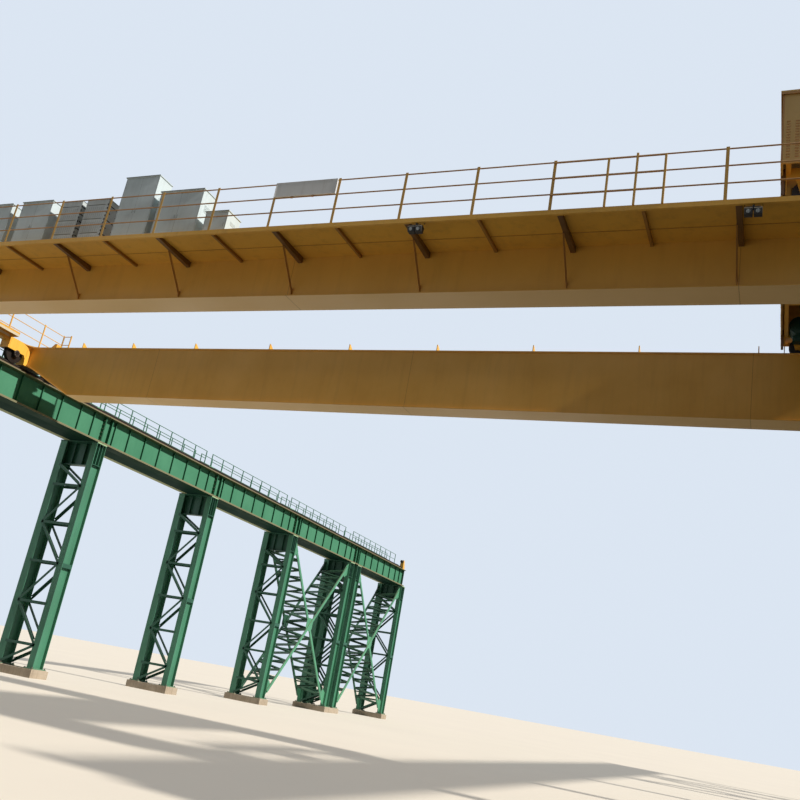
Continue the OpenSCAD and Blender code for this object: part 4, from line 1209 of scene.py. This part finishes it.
def cabinets():
    """Control cabinets: flush doors with fine gaps, small handles, a thin roof and side vents."""
    work = Steelwork(cabinet_grey, roof_grey, slot_black)
    for x0, x1, tall, back in CABINETS:
        y0, y1 = CAB_Y0 + back, CAB_Y0 + 500
        z0, z1 = WALK_TOP, WALK_TOP + tall
        work.use(slot_black).plate(x0 + 14, x1 - 14, y0 + 14, y1 - 14, z0, z0 + 46)
        work.use(cabinet_grey).plate(x0, x1, y0, y1, z0 + 46, z1 - 10)
        eaves, ridge = (x0 - 20, x1 + 20, y0 - 20, y1 + 14), (x0 + 60, x1 - 60, y0 + 60, y1 - 60)
        work.stepped((*eaves, z1 - 12), (*eaves, z1 + 6), (*ridge, z1 + 24))
        work.use(roof_grey).plate(x0 - 19, x1 + 19, y0 - 24, y0 - 20.2, z1 - 14, z1 + 8)
        doors = 2 if x1 - x0 > 1000 else 1
        wide = (x1 - x0 - 40) / doors
        for d in range(doors + 1):
            a = x0 + 20 + d * wide
            work.plate(a - 2, a + 2, y0 - 1, y0 + 1, z0 + 60, z1 - 40)
        for level in (z0 + 58, z1 - 42):
            work.plate(x0 + 20, x1 - 20, y0 - 1, y0 + 1, level, level + 4)
        for d in range(doors):
            a = x0 + 20 + d * wide
            grip, z = a + wide - 46 if d == 0 else a + 34, z0 + tall * 0.46
            work.plate(grip, grip + 12, y0 - 9, y0, z, z + 90)
            hinge = a + 6 if d == 0 else a + wide - 10
            for z in (z0 + tall * 0.15, z0 + tall * 0.85):
                work.rod((hinge, y0 - 5, z - 30), (hinge, y0 - 5, z + 30), 9, 8)
        for side, x in ((-1, x0), (1, x1)):
            for k in range(6 if tall > 1000 else 3):
                z = z0 + tall * 0.62 + k * 34
                work.use(cabinet_grey).along_y([(x, z), (x + side * 9, z), (x, z + 20)], y0 + 150, y1 - 150)
    work.make("cabinet_bodies", "bridge", ("control_cabinets",))


cabinets()


def resistor_banks():
    """Resistor banks: stacked boxes with fine gaps, notched corners and side slots."""
    work = Steelwork(bank_grey, slot_black, roof_grey)
    for x, back in ((-6760, 32), (-5900, 26)):
        x0, x1, y0, y1 = x + 4, x + 696, CAB_Y0 + back, CAB_Y0 + 484
        levels = [WALK_TOP, WALK_TOP + 390, WALK_TOP + 790, WALK_TOP + 1190, WALK_TOP + 1346]
        work.use(slot_black).plate(x0 + 24, x1 - 24, y0 + 24, y1 - 24, WALK_TOP, WALK_TOP + 1340)
        for low, high in zip(levels, levels[1:]):
            work.use(bank_grey).plate(x0, x1, y0, y1, low + (0 if low == WALK_TOP else 20), high)
        for z in levels[1:-1]:
            work.plate(x1 - 70, x1 - 2, y0 + 1, y0 + 22, z, z + 20)
            work.plate(x0 + 2, x0 + 40, y0 + 1, y0 + 22, z, z + 20)
        work.use(slot_black)
        for wall in (x0, x1):
            for k in range(9):
                z = WALK_TOP + 330 + k * 106
                work.plate(wall - 3, wall + 3, y0 - 2, y0 + 30, z, z + 50)
            for z in levels[1:-1]:
                work.plate(wall - 2, wall + 2, y0 + 60, y0 + 330, z - 6, z + 26)
                work.plate(wall - 2, wall + 2, y0 + 40, y0 + 160, z - 212, z - 184)
                work.plate(wall - 2, wall + 2, y0 + 340, y0 + 420, z - 212, z - 184)
                work.rod((wall - 3, y1 - 80, z + 90), (wall + 3, y1 - 80, z + 90), 40, 10)
        work.use(roof_grey)
        for k in range(9):
            bar = x0 + 60 + k * 66
            for z in levels[:3]:
                work.rod((bar, y0 - 2, z + 50), (bar, y0 - 2, z + 350), 5, 5)
        eaves, ridge = (x0 - 4, x1 + 4, y0 - 16, y1 + 16), (x0 + 90, x1 - 90, y0 + 60, y1 - 60)
        roof = WALK_TOP + 1350
        work.stepped((*eaves, roof), (*eaves, roof + 16), (*ridge, roof + 40))
    work.make("resistor_banks", "bridge", ("resistor_boxes",))


resistor_banks()


def lamps():
    """Twin floodlights: finned black housings with round lenses, on a stirrup under the walkway edge."""
    work = Steelwork(lamp_black, lamp_lens)
    e, t = WALK_Y1, WALK_TOP
    body = [(e + 20, t - 164), (e - 50, t - 225), (e - 10, t - 316), (e + 106, t - 318), (e + 126, t - 184)]
    fin = [(e + 20, t - 168), (e + 126, t - 188), (e + 122, t - 164), (e + 34, t - 146)]
    front = (0, -0.915, -0.402)
    for x in (2 * BAR_GAP + 400, 6 * BAR_GAP + 400):
        work.use(lamp_black)
        work.plate(x - 150, x + 150, e + 24, e + 116, t - 64, t - 56)
        for side in (x - 150, x + 142):
            work.plate(side, side + 8, e + 24, e + 116, t - 100, t - 64)
        work.plate(x - 18, x + 18, e + 44, e + 96, t - 190, t - 56)
        work.plate(x - 120, x + 120, e - 6, e + 40, t - 172, t - 164)
        for cx in (x - 78, x + 78):
            work.use(lamp_black).along_x(body, cx - 68, cx + 68)
            for k in range(6):
                at = cx - 60 + k * 22
                work.along_x(fin, at, at + 6)
            glass = (cx, e - 31, t - 271)
            work.turned(glass, front, [(-2, 46), (7, 46), (9, 38), (3, 36), (3, 0)], 20)
            work.use(lamp_lens).turned(glass, front, [(0, 36), (5, 34), (8, 22), (9, 0)], 20)
    work.make("floodlight_pair", "bridge", ("floodlights",), bevel=2)


lamps()


def board_frame():
    """A thin rim round the blank board and two tabs that tie it to the rail below."""
    work = Steelwork(board_white, rail_brown)
    x0, x1, z0, z1 = 10, BAR_GAP - 40, WALK_TOP + 720, WALK_TOP + 1085
    for a, b, c, d in ((x0, x1, z0, z0 + 12), (x0, x1, z1 - 12, z1), (x0, x0 + 12, z0 + 12, z1 - 12),
                       (x1 - 12, x1, z0 + 12, z1 - 12)):
        work.plate(a, b, FENCE_Y - 25, FENCE_Y - 20.2, c, d)
    work.use(rail_brown)
    for x in (440, 960):
        work.plate(x, x + 50, FENCE_Y - 24, FENCE_Y + 4, z0 - 40, z0 - 2)
    work.make("board_frame", "bridge")


board_frame()


def carriage_fittings():
    """Bearing caps with their bolts at every wheel, and flat ribs on both sides of the end carriages."""
    work = Steelwork(carriage_paint, hub_brown)
    heads = []
    cap_outline = [(0, 128), (10, 128), (16, 118), (16, 0)]
    for side in (-1, 1):
        for y in (NEAR_Y, FAR_Y):
            for s in (-1, 1):
                cy = y + s * WHEEL_Y
                for face in (-1, 1):
                    cap = side * RAIL_X + face * 211
                    work.use(hub_brown).turned((cap, cy, AXLE_Z), (face, 0, 0), cap_outline, 28)
                    for k in range(8):
                        a = TURN * k / 8
                        spot = (cap + face * 16, cy + 100 * math.cos(a), AXLE_Z + 100 * math.sin(a))
                        heads.append((spot, (face, 0, 0)))
                work.use(carriage_paint)
                for rib in (cy - 430, cy + 430):
                    for face in (-1, 1):
                        x = side * RAIL_X + face * 210
                        work.plate(*sorted((x, x + face * 12)), rib - 8, rib + 8,
                                   AXLE_Z + 80, GIRDER_TOP - 40)
            for face in (-1, 1):
                x = side * RAIL_X + face * 210
                for joint in (y - 520, y + 520):
                    work.plate(*sorted((x, x + face * 7)), joint - 9, joint + 9,
                               AXLE_Z - 120, GIRDER_TOP - 30)
    work.make("carriage_fittings", "bridge")
    bolts("bearing_cap_bolts", heads, "bridge", "wheel_iron", bolt_steel, 26)


carriage_fittings()


def motor(work, start, end, across, sides=28):
    """A finned motor: end bells, long cooling fins and a fan cover."""
    a, b = Vector(start), Vector(end)
    run = (b - a).normalized()
    length = (b - a).length
    work.turned(a, run, [(0, across * 0.30), (0, across * 0.49), (length * 0.06, across * 0.50),
                         (length * 0.1, across * 0.46), (length * 0.7, across * 0.46),
                         (length * 0.72, across * 0.5), (length * 0.97, across * 0.5),
                         (length, across * 0.44), (length, across * 0.1)], sides)
    for out in circle(run, sides):
        root = out * across * 0.45
        work.strut(a + run * length * 0.12 + root, a + run * length * 0.68 + root,
                   out, (-3, 3), across * 0.045)


def drives():
    """Finned motors on every drive, and the ribs and bolts of their gearboxes."""
    work = Steelwork(drive_green)
    heads = []
    x, z = CAR_X0 - 25, AXLE_Z + 180
    for side in (-1, 1):
        for y in (NEAR_Y - WHEEL_Y, FAR_Y + WHEEL_Y):
            motor(work, (side * (x - 225), y, z), (side * (x - 708), y, z), 268)
            a, b = sorted((side * (x - 232), side * (x - 4)))
            for dz in (-120, 0, 120, 240):
                work.plate(a, b, y - 158, y + 158, AXLE_Z + dz - 5, AXLE_Z + dz + 5)
            for dy in (-120, 120):
                for dz in (-110, 290):
                    heads.append(((side * (x - 230), y + dy, AXLE_Z + dz), (-side, 0, 0)))
    work.make("travel_motor_fins", "bridge")
    bolts("gearbox_bolts", heads, "bridge", "drive_green", bolt_steel, 28)
    crab = Steelwork(drive_green)
    x, z = CRAB_X - 1250, FRAME_BOT + 130
    for s in (-1, 1):
        y = BRIDGE_Y + s * GIRDER_GAP / 2
        motor(crab, (x, y - s * 151, z), (x, y - s * 652, z), 468)
        a, b = sorted((y - s * 151, y - s * 404))
        for dz in (-290, -200, 130):
            crab.plate(x - 150, x + 160, a, b, z + dz - 5, z + dz + 5)
    motor(crab, (CRAB_X - 330, BRIDGE_Y + 2050, DRUM_Z), (CRAB_X - 330, BRIDGE_Y + 2956, DRUM_Z), 490)
    crab.make("trolley_motor_fins", "trolley")


drives()


def drum_ropes():
    """Both halves of the rope laid on the drum."""
    spots = [(CRAB_X, DRUM_Y - 1290, DRUM_Z), (CRAB_X, DRUM_Y - 2830, DRUM_Z)]
    grow("rope_on_drum", rope_tree, spots, "trolley", "rope_steel", rope_wire, facing=[(0, 1, 0)] * 2,
         Turns=38.0, Radius=372 * SCALE, Length=1220 * SCALE, Rope=13 * SCALE)


drum_ropes()


def house_fittings():
    """Corner strips, roof fascia, guard posts and columns of small louvre slots of the machine house."""
    work = Steelwork(rail_brown, bar_brown)
    x0, x1, y0, y1 = CRAB_X - 1685, CRAB_X + 1685, HOUSE_Y0, HOUSE_Y1
    work.use(rail_brown)
    for x in (x0 - 4, x1 - 28):
        for y in (y0 - 4, y1 - 28):
            work.plate(x, x + 32, y, y + 32, HOUSE_BOT + 2, HOUSE_TOP - 4)
    for a, b, c, d in ((x0 - 39, x1 + 39, y0 - 39, y0 - 33), (x0 - 39, x1 + 39, y1 + 33, y1 + 39),
                       (x0 - 39, x0 - 33, y0 - 33, y1 + 33), (x1 + 33, x1 + 39, y0 - 33, y1 + 33)):
        work.plate(a, b, c, d, HOUSE_TOP - 50, HOUSE_TOP + 28)
    work.use(bar_brown)
    for y in (NEAR_Y, FAR_Y):
        for x in (CRAB_X - 1672, CRAB_X + 1612):
            work.plate(x, x + 60, y - 168, y - 152, CRAB_AXLE - 112, FRAME_TOP - 20)
    work.make("house_trim", "trolley")
    levels = [HOUSE_BOT + 130 + row * 61 for row in range(14)]
    column_gap = 155
    slats = []
    for y in (y0 - 3, y1 + 3):
        for column in range(20):
            if column % 7 < 5:
                slats += [(x0 + 112 + column * column_gap, y, z) for z in levels]
    grow("house_end_slots", block_tree, slats, "trolley", "crane_yellow", rail_brown, smooth=False,
         Size=(68 * SCALE, 10 * SCALE, 22 * SCALE))
    slats = []
    for x in (x0 - 3, x1 + 3):
        for column in range(52):
            if column % 7 < 5:
                slats += [(x, y0 + 250 + column * column_gap, z) for z in levels]
    grow("house_side_slots", block_tree, slats, "trolley", "crane_yellow", rail_brown, smooth=False,
         Size=(10 * SCALE, 68 * SCALE, 22 * SCALE))


house_fittings()


# Floor, light and camera


def make_stage():
    """A wide pale floor, which throws back less light towards its right and its front."""
    mesh = bpy.data.meshes.new("floor")
    half = 400.0
    corners = [(-half, -half, 0), (half, -half, 0), (half, half, 0), (-half, half, 0)]
    mesh.from_pydata(corners, [], [(0, 1, 2, 3)])
    floor = bpy.data.objects.new("floor", mesh)
    bpy.context.scene.collection.objects.link(floor)
    material = bpy.data.materials.new("pale_floor")
    material.use_nodes = True
    tree = material.node_tree
    shader = tree.nodes["Principled BSDF"]
    coords = put(tree, "ShaderNodeTexCoord")
    colour = blend_colour(tree, noise(tree, coords.outputs["Object"], 0.25, 6.0, 0.6),
                          tone(0.80, 0.76, 0.70), tone(0.86, 0.82, 0.75))
    place = put(tree, "ShaderNodeSeparateXYZ")
    join(tree, coords.outputs["Object"], place.inputs[0])
    sunny = sums(tree, "MULTIPLY", ramp(tree, place.outputs["X"], -8.0, 7.0, 1.0, 0.04),
                 ramp(tree, place.outputs["Y"], -12.0, -8.0, 0.68, 1.0))
    thrown = blend_colour(tree, sunny, (0.0, 0.0, 0.0, 1.0), (0.85, 0.81, 0.74, 1.0))
    path = put(tree, "ShaderNodeLightPath")
    seen = path.outputs["Is Camera Ray"]
    join(tree, blend_colour(tree, seen, thrown, colour), shader.inputs["Base Color"])
    lift = blend_colour(tree, seen, (0.0, 0.0, 0.0, 1.0), (1.0, 0.94, 0.85, 1.0))
    join(tree, lift, shader.inputs["Emission Color"])
    shader.inputs["Emission Strength"].default_value = 0.27
    shader.inputs["Roughness"].default_value = 0.9
    mesh.materials.append(material)


def make_light():
    """A pale backdrop to look at, a weaker soft light from all round, and the sun."""
    world = bpy.data.worlds.new("soft_sky")
    bpy.context.scene.world = world
    world.use_nodes = True
    tree = world.node_tree
    tree.nodes.clear()
    soft = put(tree, "ShaderNodeBackground")
    soft.inputs["Color"].default_value = (0.86, 0.92, 1.0, 1.0)
    soft.inputs["Strength"].default_value = 0.13
    pale = put(tree, "ShaderNodeBackground")
    pale.inputs["Color"].default_value = tone(0.86, 0.90, 0.95)
    pale.inputs["Strength"].default_value = 1.0
    path = put(tree, "ShaderNodeLightPath")
    seen = sums(tree, "MAXIMUM", path.outputs["Is Camera Ray"],
                sums(tree, "MAXIMUM", path.outputs["Is Glossy Ray"], path.outputs["Is Transmission Ray"]))
    mix = put(tree, "ShaderNodeMixShader")
    join(tree, seen, mix.inputs[0])
    join(tree, soft.outputs[0], mix.inputs[1])
    join(tree, pale.outputs[0], mix.inputs[2])
    out = put(tree, "ShaderNodeOutputWorld")
    join(tree, mix.outputs[0], out.inputs["Surface"])
    key = bpy.data.lights.new("key", "SUN")
    key.energy = 4.4
    key.angle = math.radians(2)
    key.color = (1.0, 0.96, 0.90)
    lamp = bpy.data.objects.new("key", key)
    towards = Vector((-0.80, 0.03, -0.57))
    lamp.rotation_euler = towards.to_track_quat("-Z", "Y").to_euler()
    lamp.location = (30, -10, 25)
    bpy.context.scene.collection.objects.link(lamp)


def make_camera():
    data = bpy.data.cameras.new("eye")
    data.sensor_width = 36.0
    data.lens = FOCAL_PX / PHOTO_PX * data.sensor_width
    data.clip_start = 0.05
    data.clip_end = 2000.0
    camera = bpy.data.objects.new("eye", data)
    turn = Matrix((Vector(EYE_RIGHT), Vector(EYE_UP), -Vector(EYE_FORWARD))).transposed()
    camera.matrix_world = Matrix.Translation(EYE) @ turn.to_4x4()
    bpy.context.scene.collection.objects.link(camera)
    bpy.context.scene.camera = camera


make_stage()
make_light()
make_camera()
bpy.context.scene.view_settings.view_transform = "Standard"
